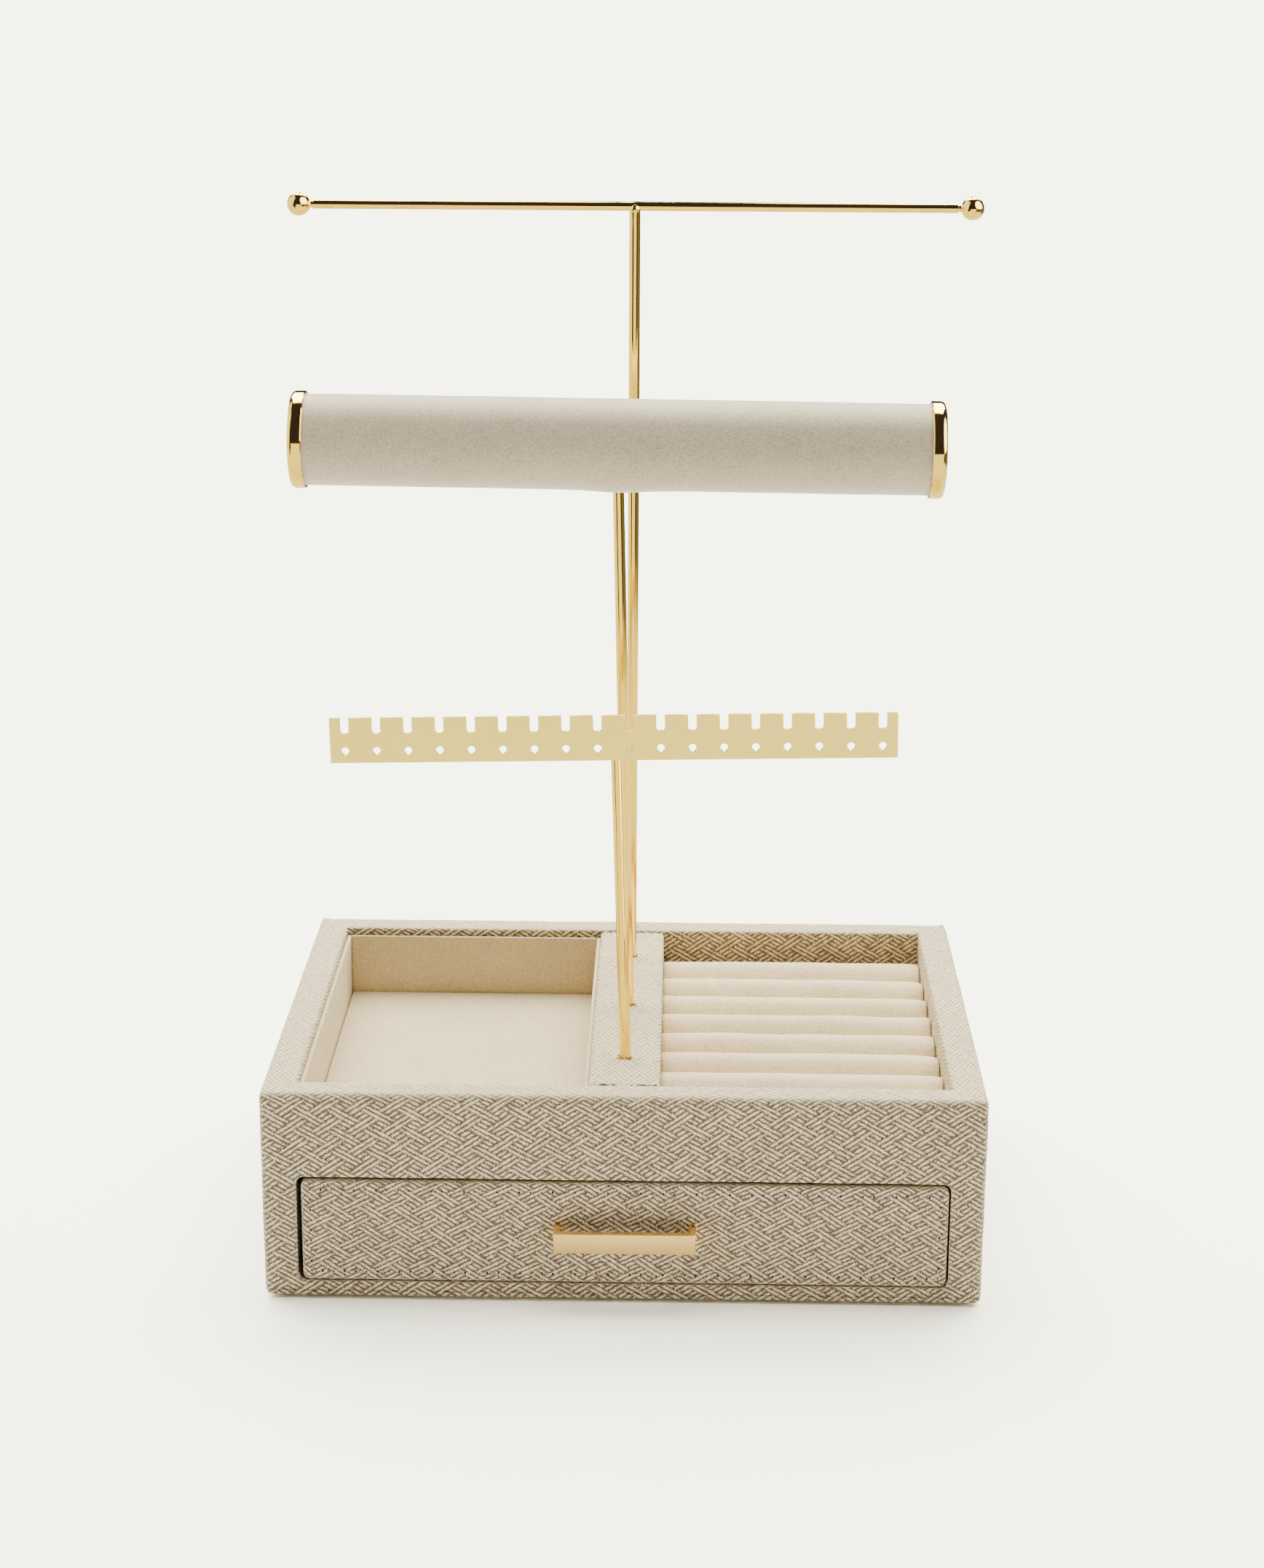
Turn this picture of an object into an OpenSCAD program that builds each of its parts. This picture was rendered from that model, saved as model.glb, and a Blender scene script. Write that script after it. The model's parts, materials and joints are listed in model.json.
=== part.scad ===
// Jewellery stand with drawer: a fabric-wrapped case with an open tray, a ring pad and a
// drawer, and three brass-plated stands screwed into the divider between the trays.
// Millimetres, +Z up. The origin is the middle of the case's underside; -Y is the front.

/* [Case] */
// Width of the case over its fabric
case_w = 250; // [220:1:300]
// Depth of the case over its fabric
case_d = 180; // [160:1:230]
// Height of the case, from the table to the top of its walls
case_h = 77; // [70:1:95]
// Thickness of a wrapped wall
wall_t = 12; // [9:0.5:15]
// Thickness of the wrapped bottom, from the table to the drawer bay's floor
bottom_t = 7; // [5:0.5:10]
// Thickness of the woven fabric
fabric_t = 0.7; // [0.4:0.1:1]
// Radius of the walls' outer top edges
top_edge_r = 2.2; // [1.5:0.1:3]
// Radius of the walls' inner top edges
lip_r = 1.4; // [1:0.1:2]
// Radius of the case's bottom edges
foot_edge_r = 4; // [2:0.1:4.5]
// Radius of the case's upright corners
corner_r = 3; // [2:0.1:5]
// Thickness of the felt under the case
felt_t = 0.8; // [0.5:0.1:2]
// Distance from the case's outline to the felt's edge
felt_inset = 5; // [4:0.5:12]
// How far the fabric is turned in, from the case's front face
turn_in = 20; // [16:1:40]

/* [Drawer bay] */
// Height of the drawer opening
bay_h = 39; // [34:1:44]
// Corner radius of the drawer opening
bay_corner_r = 3; // [1:0.5:6]

/* [Trays] */
// Thickness of the deck between the trays and the drawer bay
deck_t = 3; // [2:0.5:5]
// Height of the deck above the top of the drawer opening
deck_rise = 0.5; // [0.2:0.1:2]
// Depth of the grooves that hold the deck in the side walls
groove_t = 3; // [2:0.5:5]
// Width of the divider over its fabric
divider_w = 25; // [20:0.5:32]
// Height of the wall tops above the divider
divider_drop = 0.3; // [0.1:0.1:2]
// Radius of the divider's long top edges
divider_edge_r = 1.6; // [1:0.1:2.5]
// Thickness of the tray's suede-covered card
liner_t = 1.5; // [1:0.1:2.5]
// Height of the wall tops above the liner's rim
liner_drop = 3; // [1:0.5:8]
// Thickness of the tray's floor pad
floor_pad_t = 1.4; // [1:0.1:3]
// Edge radius of the floor pads
pad_edge_r = 0.6; // [0.3:0.1:0.9]

/* [Ring pad] */
// Number of foam rolls
roll_count = 8; // [6:1:10]
// Height of the wall tops above the rolls
roll_drop = 10.5; // [8:0.5:14]
// Gap between neighbouring rolls, which a ring's band spreads
roll_gap = 0.3; // [0.2:0.1:0.6]
// Space between the rolls and the wall, in front and behind
roll_slack = 2.4; // [0.5:0.1:4]
// Thickness of the board under the rolls
ring_board_t = 2.5; // [1.5:0.5:4]

/* [Drawer] */
// Gap at each side of a centred drawer
drawer_side_gap = 0.9; // [0.5:0.1:1.5]
// How far right of centre the drawer lies in its bay
drawer_shift = 0.3; // [0:0.1:0.4]
// Running gap under the drawer
drawer_low_gap = 0.3; // [0.2:0.1:0.6]
// Gap above the drawer front
drawer_top_gap = 0.8; // [0.4:0.1:1.5]
// Gap behind the drawer
drawer_back_gap = 3; // [1:0.5:8]
// Thickness of the drawer front over its fabric
drawer_front_t = 9; // [7:0.5:12]
// Edge radius of the drawer front's fabric
drawer_edge_r = 1; // [0.8:0.1:1.8]
// Thickness of the drawer's sides and back
drawer_side_t = 5; // [3:0.5:8]
// Height of the drawer's sides above its floor
drawer_side_h = 30; // [24:1:33]
// Thickness of the drawer's floor
drawer_floor_t = 2.5; // [2:0.5:4]
// Thickness of the drawer's suede lining
lining_t = 1.2; // [0.8:0.1:2]

/* [Handle] */
// Width of the handle
handle_w = 49; // [30:1:80]
// Height of the handle's bar
handle_h = 7; // [4:0.5:10]
// Reach of the handle from the drawer front
handle_reach = 8.5; // [7:0.5:14]
// Thickness of the handle's bar
handle_bar_t = 2.3; // [1.5:0.1:3]
// Thickness of the handle's legs
handle_leg_t = 2.4; // [2.2:0.1:4]
// Diameter of the studs on the handle's legs
stud_d = 2; // [1.6:0.1:2.2]
// Width of the studs' nuts, across their corners
nut_d = 4.4; // [4:0.1:5]
// Thickness of the studs' nuts
nut_t = 1.6; // [1.2:0.1:2]

/* [Posts] */
// Diameter of the posts
post_d = 4; // [3.6:0.1:5]
// Distance between neighbouring posts
post_pitch = 51.5; // [40:0.5:60]
// Sideways lean of the earring post, to the left, in degrees
earring_lean = 1.8; // [0:0.1:2]
// Sideways lean of the bracelet post, to the left, in degrees
bracelet_lean = 1.3; // [0:0.1:2]
// Depth of the posts' threaded ends in the divider
post_depth = 12; // [8:1:13]
// Outer diameter of the threaded inserts
insert_d = 7; // [6.5:0.5:9]
// Length of the threaded inserts
insert_h = 14; // [13:1:18]
// Distance from the top of the divider's board down to the inserts
insert_sink = 0.4; // [0:0.1:1]

/* [Necklace bar] */
// Height of the bar's axis above the divider
necklace_rise = 286; // [250:1:320]
// Distance between the centres of the end balls
necklace_span = 242; // [180:1:290]
// Diameter of the bar
necklace_d = 3.3; // [3:0.1:3.6]
// Distance from the bar's axis down to the middle of the post's round end
weld_drop = 0.5; // [0.2:0.1:1]
// Diameter of the end balls
ball_d = 8.3; // [6:0.1:12]
// Diameter of the neck between ball and bar
neck_d = 2.5; // [2.2:0.1:2.8]
// Length of the neck that shows
neck_h = 1; // [0.5:0.1:2]
// Diameter of the balls' studs in the bar
ball_stud_d = 1.9; // [1.4:0.1:2]
// Length of the balls' studs
ball_stud_h = 5; // [3:0.5:10]

/* [Bracelet bar] */
// Height of the bar's axis above the divider, along its post
bracelet_rise = 209; // [180:1:230]
// Length of the bar over its end caps
bracelet_l = 228; // [160:1:260]
// Diameter of the bar over its sleeve
bracelet_d = 32; // [26:0.5:38]
// Thickness of the padded sleeve
sleeve_t = 1; // [0.6:0.1:2]
// Wall of the card tube
tube_t = 2; // [1:0.5:3]
// Outer diameter of the end caps
cap_d = 34; // [28:0.5:42]
// Width of the end caps
cap_w = 5; // [4:0.5:9]
// Thickness of the end caps' faces
cap_face_t = 1.2; // [0.8:0.1:1.6]
// Edge radius of the end caps
cap_edge_r = 1.8; // [1:0.1:2.5]
// Tilt of the bar on its post, right end down, in degrees
bracelet_tilt = 1.8; // [0:0.1:2.5]
// Length of the wooden saddle that the post is fixed in
saddle_l = 24; // [14:1:40]

/* [Earring bar] */
// Height of the bar's lower edge above the divider, along its post
earring_rise = 109.8; // [80:1:120]
// Width of the bar
earring_w = 194; // [140:1:230]
// Height of the bar
earring_h = 16; // [14:0.5:22]
// Thickness of the bar's sheet
earring_t = 1; // [0.8:0.1:2]
// How far the bar is brazed out of square with its post, right end down, in degrees
earring_askew = 0.6; // [0:0.1:1]
// How far the bar is brazed to the left of its post's middle
earring_shift = 1; // [0:0.1:2]
// Number of hooks and drops along the bar
pair_count = 18; // [10:2:22]
// Distance between neighbouring slots
pair_pitch = 10.8; // [8:0.1:12]
// Width of a slot
slot_w = 2.85; // [2:0.05:4]
// Depth of a slot
slot_h = 5.5; // [4:0.5:8]
// Radius of a slot's bottom corners
slot_r = 0.8; // [0.3:0.1:0.9]
// Diameter of a teardrop hole
drop_d = 2.6; // [1.8:0.1:3.4]
// Height of the teardrops' centres above the bar's lower edge
drop_rise = 4.3; // [3:0.1:6]
// Depth of the flat on the post that the bar is brazed to
braze_flat = 0.4; // [0.2:0.1:0.8]

/* [Hidden] */
$fn = 64;

WEAVE = "#cbc1ae";
SUEDE = "#e4d9c6";
SLEEVE = "#cfc6b8";
BRASS = "#dcb878";
BOARD = "#b39268";
FELT = "#d8cfbf";

run_clear = 0.3;                      // between pieces that move past each other
fit_clear = 0.05;                     // between a shaft and its hole
cut = 1;                              // how far a cutter runs past what it cuts

inner_w = case_w - 2 * wall_t;        // between the wrapped walls
inner_d = case_d - 2 * wall_t;
board_x = inner_w / 2 + fabric_t;     // inner faces of the bare boards
board_y = inner_d / 2 + fabric_t;
bay_top = bottom_t + bay_h;
deck_low = bay_top + deck_rise;
deck_top = deck_low + deck_t;
divider_top = case_h - divider_drop;
tray_w = (inner_w - divider_w) / 2;   // width of each tray
tray_x = (divider_w + tray_w) / 2;    // distance of each tray's middle from the case's middle

drawer_w = inner_w - 2 * drawer_side_gap;
drawer_low = bottom_t + drawer_low_gap;
drawer_high = bay_top - drawer_top_gap;
drawer_front_y = -case_d / 2;
drawer_box_y = drawer_front_y + drawer_front_t;
drawer_back_y = board_y - drawer_back_gap;
drawer_mid_z = (drawer_low + drawer_high) / 2;
drawer_corner_r = bay_corner_r - drawer_low_gap;
box_l = drawer_back_y - drawer_box_y;
box_floor = drawer_low + drawer_floor_t;
stud_x = (handle_w - handle_leg_t) / 2;
washer_t = 0.4;
washer_rim = 0.3;                     // from the nut's corners to the washer's edge
washer_d = nut_d + 2 * washer_rim;
nut_pocket_play = 0.5;
nut_pocket_d = washer_d + 2 * nut_pocket_play;
stud_end = 1;                         // from the stud's end to the back of the drawer front
nut_pocket_h = stud_end + nut_t + washer_t;

ring_pitch = (inner_d - 2 * roll_slack) / roll_count;
roll_top = case_h - roll_drop;
insert_low = -fabric_t - insert_sink - insert_h;     // from the post's foot
tube_r = bracelet_d / 2 - sleeve_t;

// A fillet's radius on a face that lies inset under the fabric's outside.
function under(r, inset) = max(r - inset, 0.2);

// ---- shapes that repeat ----

// A rectangle with round corners.
module round_rect(w, h, r) {
    for (sx = [-1, 1], sy = [-1, 1])
        translate([sx * (w / 2 - r), sy * (h / 2 - r)]) circle(r);
    square([w, h - 2 * r], center = true);
    square([w - 2 * r, h], center = true);
}

// A block's outline seen from one side, with its own radius below and above.
module block_outline(w, low, high, r_low, r_high) {
    for (s = [-1, 1]) {
        translate([s * (w / 2 - r_low), low + r_low]) circle(r_low);
        translate([s * (w / 2 - r_high), high - r_high]) circle(r_high);
    }
    translate([-w / 2, low + r_low]) square([w, high - low - r_low - r_high]);
    translate([-w / 2 + r_low, low]) square([w - 2 * r_low, high - low - r_high]);
    translate([-w / 2 + r_high, low + r_low]) square([w - 2 * r_high, high - low - r_low]);
}

// Extrudes a side outline along Y, or along X.
module along_y(l) { rotate([90, 0, 0]) linear_extrude(l, center = true) children(); }
module along_x(l) { rotate([90, 0, 90]) linear_extrude(l, center = true) children(); }

// A box that lies between two corners.
module between(a, b) { translate(a) cube(b - a); }

// A wrapped block: round edges above and below that meet in mitres, and round corners.
module wrapped_block(w, d, low, high, r_low, r_high, r_corner) {
    intersection() {
        along_y(d) block_outline(w, low, high, r_low, r_high);
        along_x(w) block_outline(d, low, high, r_low, r_high);
        translate([0, 0, low]) linear_extrude(high - low) round_rect(w, d, r_corner);
    }
}

// The outline of a well whose lip flares outwards in a quarter round.
module well_outline(w, low, high, r) {
    translate([-w / 2, low]) square([w, high - low + cut]);
    difference() {
        translate([-w / 2 - r, high - r]) square([w + 2 * r, r + cut]);
        for (s = [-1, 1]) translate([s * (w / 2 + r), high - r]) circle(r);
    }
}

// A rectangular well in a wrapped block, with mitred quarter rounds at its lip.
module well(w, d, low, high, r) {
    intersection() {
        along_y(d + 4 * r) well_outline(w, low, high, r);
        along_x(w + 4 * r) well_outline(d, low, high, r);
    }
}

// One card of the four that line a box of w by d: side is -1 or 1 for the cards at -X and +X,
// which run the whole depth, and the cards at -Y and +Y fit between them.
module card_x(side, w, d, low, high, t) {
    translate([side * (w - t) / 2, 0, (low + high) / 2]) cube([t, d, high - low], center = true);
}

module card_y(side, w, d, low, high, t) {
    translate([0, side * (d - t) / 2, (low + high) / 2]) cube([w - 2 * t, t, high - low], center = true);
}

// A pad that lies flat, with its upper edges rounded.
module flat_pad(w, d, low, t) {
    intersection() {
        along_y(d) pad_outline(w, low, t);
        along_x(w) pad_outline(d, low, t);
    }
}

module pad_outline(w, low, t) {
    for (s = [-1, 1]) translate([s * (w / 2 - pad_edge_r), low + t - pad_edge_r]) circle(pad_edge_r);
    translate([-w / 2, low]) square([w, t - pad_edge_r]);
    translate([-w / 2 + pad_edge_r, low]) square([w - 2 * pad_edge_r, t]);
}

// ---- case ----

// The case's walls and bottom, with every face moved in by inset: 0 is the outside of the
// fabric, and fabric_t is the outside of the boards.
module case_form(inset) {
    difference() {
        wrapped_block(case_w - 2 * inset, case_d - 2 * inset, felt_t + inset, case_h - inset,
                      under(foot_edge_r, inset), under(top_edge_r, inset), under(corner_r, inset));
        well(inner_w + 2 * inset, inner_d + 2 * inset, bottom_t - inset, case_h - inset,
             under(lip_r, inset));
        translate([0, -(case_d + inner_d) / 4, bottom_t + bay_h / 2])
            along_y(wall_t + 2 * cut)
                round_rect(inner_w + 2 * inset, bay_h + 2 * inset, bay_corner_r + inset);
    }
}

// One board of the case: what lies between two corners.
module case_board(a, b) {
    color(BOARD) difference() {
        intersection() {
            case_form(fabric_t);
            between(a, b);
        }
        deck_space();
    }
}

module deck_space() {
    between([-inner_w / 2 - groove_t, -inner_d / 2, deck_low],
            [inner_w / 2 + groove_t, inner_d / 2, deck_top]);
}

module base_felt() {
    w = case_w - 2 * felt_inset;
    d = case_d - 2 * felt_inset;
    color(FELT) linear_extrude(felt_t) round_rect(w, d, corner_r);
}

module case_bottom() {
    case_board([-board_x, -board_y, 0], [board_x, board_y, bottom_t - fabric_t]);
}

module front_frame() { case_board([-case_w, -case_d, 0], [case_w, -board_y, case_h]); }

module left_wall() { case_board([-case_w, -board_y, 0], [-board_x, case_d, case_h]); }

module right_wall() { case_board([board_x, -board_y, 0], [case_w, case_d, case_h]); }

module back_wall() { case_board([-board_x, board_y, 0], [board_x, case_d, case_h]); }

// What lies behind the turned-in fabric, below the deck, right to the boards.
module bay_back() {
    between([-board_x, turn_in - case_d / 2, bottom_t - fabric_t], [board_x, board_y, deck_low]);
}

// The fabric is one skin over the walls. Inside the drawer bay it ends behind the front.
module case_cover() {
    color(WEAVE) difference() {
        case_form(0);
        case_form(fabric_t);
        bay_back();
        deck_space();
    }
}

// Smooth card on the bay's floor and sides carries the drawer on from where the fabric ends.
module bay_lining() {
    color(SUEDE) difference() {
        bay_back();
        between([-inner_w / 2, -case_d, bottom_t], [inner_w / 2, case_d, case_h]);
    }
}

module tray_deck() { color(BOARD) deck_space(); }

// ---- divider and inserts ----

// Puts children where a post stands: the origin is the post's foot on the divider, +Z is its axis.
module at_post(y, lean) { translate([0, y, divider_top]) rotate([0, -lean, 0]) children(); }

module each_post() {
    at_post(-post_pitch, earring_lean) children();
    at_post(0, bracelet_lean) children();
    at_post(post_pitch, 0) children();
}

module insert_space() { translate([0, 0, insert_low]) cylinder(d = insert_d, h = insert_h + cut); }

module divider() {
    color(BOARD) difference() {
        along_y(inner_d) translate([0, deck_top])
            divider_outline(divider_w - 2 * fabric_t, divider_top - fabric_t - deck_top,
                            under(divider_edge_r, fabric_t));
        each_post() insert_space();
    }
}

module divider_outline(w, h, r) {
    for (s = [-1, 1]) translate([s * (w / 2 - r), h - r]) circle(r);
    translate([-w / 2, 0]) square([w, h - r]);
    translate([-w / 2 + r, 0]) square([w - 2 * r, h]);
}

module divider_cover() {
    h = divider_top - deck_top;
    color(WEAVE) difference() {
        along_y(inner_d) translate([0, deck_top]) difference() {
            divider_outline(divider_w, h, divider_edge_r);
            translate([0, -cut])
                divider_outline(divider_w - 2 * fabric_t, h - fabric_t + cut,
                                under(divider_edge_r, fabric_t));
        }
        each_post() translate([0, 0, -fabric_t - cut])
            cylinder(d = post_d + 2 * run_clear, h = fabric_t + 2 * cut);
    }
}

module post_inserts() {
    color(BRASS) each_post() difference() {
        translate([0, 0, insert_low]) cylinder(d = insert_d, h = insert_h);
        translate([0, 0, -post_depth - run_clear]) cylinder(d = post_d + 2 * fit_clear, h = post_depth + cut);
    }
}

// ---- trays ----

module tray_card_x(side) {
    color(SUEDE) translate([-tray_x, 0])
        card_x(side, tray_w, inner_d, deck_top, case_h - liner_drop, liner_t);
}

module tray_card_y(side) {
    color(SUEDE) translate([-tray_x, 0])
        card_y(side, tray_w, inner_d, deck_top, case_h - liner_drop, liner_t);
}

module tray_left_lining() { tray_card_x(-1); }

module tray_right_lining() { tray_card_x(1); }

module tray_front_lining() { tray_card_y(-1); }

module tray_back_lining() { tray_card_y(1); }

module tray_floor_pad() {
    side = 2 * (liner_t + run_clear);
    color(SUEDE) translate([-tray_x, 0])
        flat_pad(tray_w - side, inner_d - side, deck_top, floor_pad_t);
}

module ring_board() {
    color(BOARD) translate([tray_x, 0, deck_top + ring_board_t / 2])
        cube([tray_w - 2 * run_clear, inner_d - 2 * run_clear, ring_board_t], center = true);
}

// A foam roll: a round top on a flat seat. Roll 1 is the front one.
module ring_roll(i) {
    d = ring_pitch - roll_gap;
    axis_z = roll_top - d / 2;
    seat = deck_top + ring_board_t;
    color(SUEDE) translate([tray_x, (i - (roll_count + 1) / 2) * ring_pitch])
        along_x(tray_w - 2 * run_clear) intersection() {
            translate([0, axis_z]) circle(d = d);
            translate([-d / 2, seat]) square([d, roll_top - seat]);
        }
}

// ---- drawer ----

// The drawer front with its front face and edges moved in by inset; its back stays bare.
module front_panel(inset) {
    w = drawer_w - 2 * inset;
    h = drawer_high - drawer_low - 2 * inset;
    r = under(drawer_edge_r, inset);
    face = drawer_front_y + inset;
    intersection() {
        translate([0, (face + drawer_box_y) / 2, drawer_mid_z])
            along_y(drawer_box_y - face) round_rect(w, h, under(drawer_corner_r, inset));
        translate([0, 0, drawer_mid_z]) linear_extrude(h + cut, center = true)
            panel_outline(w, face, drawer_box_y, r);
        translate([0, 0, drawer_mid_z]) rotate([0, 90, 0]) linear_extrude(w + cut, center = true)
            panel_outline(h, face, drawer_box_y, r);
    }
}

module panel_outline(w, front, back, r) {
    for (s = [-1, 1]) translate([s * (w / 2 - r), front + r]) circle(r);
    translate([-w / 2, front + r]) square([w, back - front - r]);
    translate([-w / 2 + r, front]) square([w - 2 * r, back - front]);
}

module in_drawer() { translate([drawer_shift, 0, 0]) children(); }

// Puts children at the handle's two studs, with +Z pointing into the drawer.
module each_stud() {
    for (s = [-1, 1])
        translate([s * stud_x, drawer_front_y, drawer_mid_z]) rotate([-90, 0, 0]) children();
}

module drawer_front() {
    color(BOARD) in_drawer() difference() {
        front_panel(fabric_t);
        each_stud() {
            cylinder(d = stud_d + 2 * fit_clear, h = drawer_front_t);
            translate([0, 0, drawer_front_t - nut_pocket_h])
                cylinder(d = nut_pocket_d, h = nut_pocket_h + cut);
        }
    }
}

module drawer_front_cover() {
    color(WEAVE) in_drawer() difference() {
        front_panel(0);
        front_panel(fabric_t);
        each_stud() translate([0, 0, -cut]) cylinder(d = stud_d + 2 * fit_clear, h = fabric_t + 2 * cut);
    }
}

// What passes through the opening: the drawer's box has the same round corners as its front.
module box_envelope() {
    translate([0, (drawer_box_y + drawer_back_y) / 2, drawer_mid_z])
        along_y(box_l) round_rect(drawer_w, drawer_high - drawer_low, drawer_corner_r);
}

module drawer_side(s) {
    x = s * (drawer_w - drawer_side_t) / 2;
    z = box_floor + drawer_side_h / 2;
    color(BOARD) in_drawer() intersection() {
        box_envelope();
        translate([x, (drawer_box_y + drawer_back_y) / 2, z])
            cube([drawer_side_t, box_l, drawer_side_h], center = true);
    }
}

module drawer_left_side() { drawer_side(-1); }

module drawer_right_side() { drawer_side(1); }

module drawer_back() {
    w = drawer_w / 2 - drawer_side_t;
    color(BOARD) in_drawer()
        between([-w, drawer_back_y - drawer_side_t, box_floor],
                [w, drawer_back_y, box_floor + drawer_side_h]);
}

module drawer_floor() {
    color(BOARD) in_drawer() intersection() {
        box_envelope();
        between([-drawer_w / 2, drawer_box_y, drawer_low], [drawer_w / 2, drawer_back_y, box_floor]);
    }
}

lining_w = drawer_w - 2 * drawer_side_t;
lining_d = box_l - drawer_side_t;
lining_y = (drawer_box_y + drawer_back_y - drawer_side_t) / 2;

module drawer_card_x(side) {
    color(SUEDE) in_drawer() translate([0, lining_y])
        card_x(side, lining_w, lining_d, box_floor, box_floor + drawer_side_h, lining_t);
}

module drawer_card_y(side) {
    color(SUEDE) in_drawer() translate([0, lining_y])
        card_y(side, lining_w, lining_d, box_floor, box_floor + drawer_side_h, lining_t);
}

module drawer_left_lining() { drawer_card_x(-1); }

module drawer_right_lining() { drawer_card_x(1); }

module drawer_front_lining() { drawer_card_y(-1); }

module drawer_back_lining() { drawer_card_y(1); }

module drawer_floor_pad() {
    side = 2 * (lining_t + run_clear);
    color(SUEDE) in_drawer() translate([0, lining_y])
        flat_pad(lining_w - side, lining_d - side, box_floor, floor_pad_t);
}

// ---- handle ----

module handle() {
    color(BRASS) in_drawer() {
        translate([0, drawer_front_y - handle_reach / 2, drawer_mid_z]) difference() {
            cube([handle_w, handle_reach, handle_h], center = true);
            translate([0, handle_bar_t, 0])
                cube([handle_w - 2 * handle_leg_t, handle_reach, handle_h + 2 * cut], center = true);
        }
        each_stud() translate([0, 0, -handle_leg_t / 2])
            cylinder(d = stud_d, h = handle_leg_t / 2 + drawer_front_t - stud_end);
    }
}

module handle_washers() {
    color(BRASS) in_drawer() each_stud() translate([0, 0, drawer_front_t - nut_pocket_h]) difference() {
        cylinder(d = washer_d, h = washer_t);
        translate([0, 0, -cut]) cylinder(d = stud_d + 2 * fit_clear, h = washer_t + 2 * cut);
    }
}

module handle_nuts() {
    color(BRASS) in_drawer() each_stud()
        translate([0, 0, drawer_front_t - nut_pocket_h + washer_t]) difference() {
            cylinder(d = nut_d, h = nut_t, $fn = 6);
            translate([0, 0, -cut]) cylinder(d = stud_d + 2 * fit_clear, h = nut_t + 2 * cut);
        }
}

// ---- earring stand ----

module at_earring() { at_post(-post_pitch, earring_lean) children(); }

earring_back = -post_d / 2 + braze_flat;    // the bar's back face, from the post's axis
post_tip_drop = 1;                          // from the bar's top edge to the post's end

// Puts children where the bar is brazed to its post: the origin is on its back face, at its lower edge.
module on_post() { translate([0, earring_back, earring_rise]) rotate([0, earring_askew, 0]) children(); }

module earring_post() {
    top = earring_rise + earring_h - post_tip_drop;
    color(BRASS) at_earring() difference() {
        translate([0, 0, -post_depth]) cylinder(d = post_d, h = post_depth + top);
        on_post() between([-post_d, -post_d, 0], [post_d, 0, earring_h + cut]);
    }
}

// A slot that is open at the bar's top edge, with round corners at its bottom.
module slot_outline() {
    for (s = [-1, 1]) translate([s * (slot_w / 2 - slot_r), slot_r - slot_h]) circle(slot_r);
    translate([-slot_w / 2, slot_r - slot_h]) square([slot_w, slot_h - slot_r + cut]);
    translate([slot_r - slot_w / 2, -slot_h]) square([slot_w - 2 * slot_r, slot_h]);
}

// A round hole drawn out to a point below.
module teardrop_outline() {
    r = drop_d / 2;
    circle(r);
    rotate(-135) square(r);
}

module earring_bar() {
    color(BRASS) at_earring() on_post() translate([-earring_shift, 0, 0])
        rotate([90, 0, 0]) linear_extrude(earring_t) difference() {
            translate([-earring_w / 2, 0]) square([earring_w, earring_h]);
            for (i = [0 : pair_count - 1]) translate([(i - (pair_count - 1) / 2) * pair_pitch, 0]) {
                translate([0, earring_h]) slot_outline();
                translate([0, drop_rise]) teardrop_outline();
            }
        }
}

// ---- bracelet stand ----

module at_bracelet() { at_post(0, bracelet_lean) children(); }

// The bar's own frame: the origin is its middle, and +X is its axis.
module on_bracelet_bar() { translate([0, 0, bracelet_rise]) rotate([0, bracelet_tilt, 0]) children(); }

// A solid of revolution about the bar's axis, drawn in (radius, distance along +X).
module about_bar() { rotate([0, 90, 0]) rotate_extrude() children(); }

sleeve_l = bracelet_l - 2 * cap_face_t;     // the sleeve runs in under both caps
post_bite = post_d;                         // how far the post goes past the bar's axis

module bracelet_post() {
    color(BRASS) at_bracelet() translate([0, 0, -post_depth])
        cylinder(d = post_d, h = post_depth + bracelet_rise + post_bite);
}

module bracelet_post_hole() {
    translate([0, 0, bracelet_rise - bracelet_d])
        cylinder(d = post_d + 2 * fit_clear, h = bracelet_d + post_bite);
}

module bar_piece(r_in, r_out, l) {
    difference() {
        on_bracelet_bar() about_bar() translate([r_in, -l / 2]) square([r_out - r_in, l]);
        bracelet_post_hole();
    }
}

module bracelet_saddle() { color(BOARD) at_bracelet() bar_piece(0, tube_r - tube_t, saddle_l); }

module bracelet_tube() { color(BOARD) at_bracelet() bar_piece(tube_r - tube_t, tube_r, sleeve_l); }

module bracelet_sleeve() { color(SLEEVE) at_bracelet() bar_piece(tube_r, bracelet_d / 2, sleeve_l); }

module cap_outline() {
    r = cap_d / 2;
    difference() {
        union() {
            translate([r - cap_edge_r, cap_w - cap_edge_r]) circle(cap_edge_r);
            square([r, cap_w - cap_edge_r]);
            square([r - cap_edge_r, cap_w]);
        }
        translate([0, -cut]) square([bracelet_d / 2, cap_w - cap_face_t + cut]);
    }
}

module bracelet_cap(s) {
    color(BRASS) at_bracelet() on_bracelet_bar() mirror([s < 0 ? 1 : 0, 0, 0])
        translate([bracelet_l / 2 - cap_w, 0, 0]) about_bar() cap_outline();
}

module bracelet_left_cap() { bracelet_cap(-1); }

module bracelet_right_cap() { bracelet_cap(1); }

// ---- necklace stand ----

module at_necklace() { at_post(post_pitch, 0) children(); }

bar_end = necklace_span / 2 - ball_d / 2 - neck_h;   // where the bar stops, short of each ball

module necklace_rod(d) {
    translate([0, 0, necklace_rise]) rotate([0, 90, 0]) cylinder(d = d, h = 2 * bar_end, center = true);
}

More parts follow.
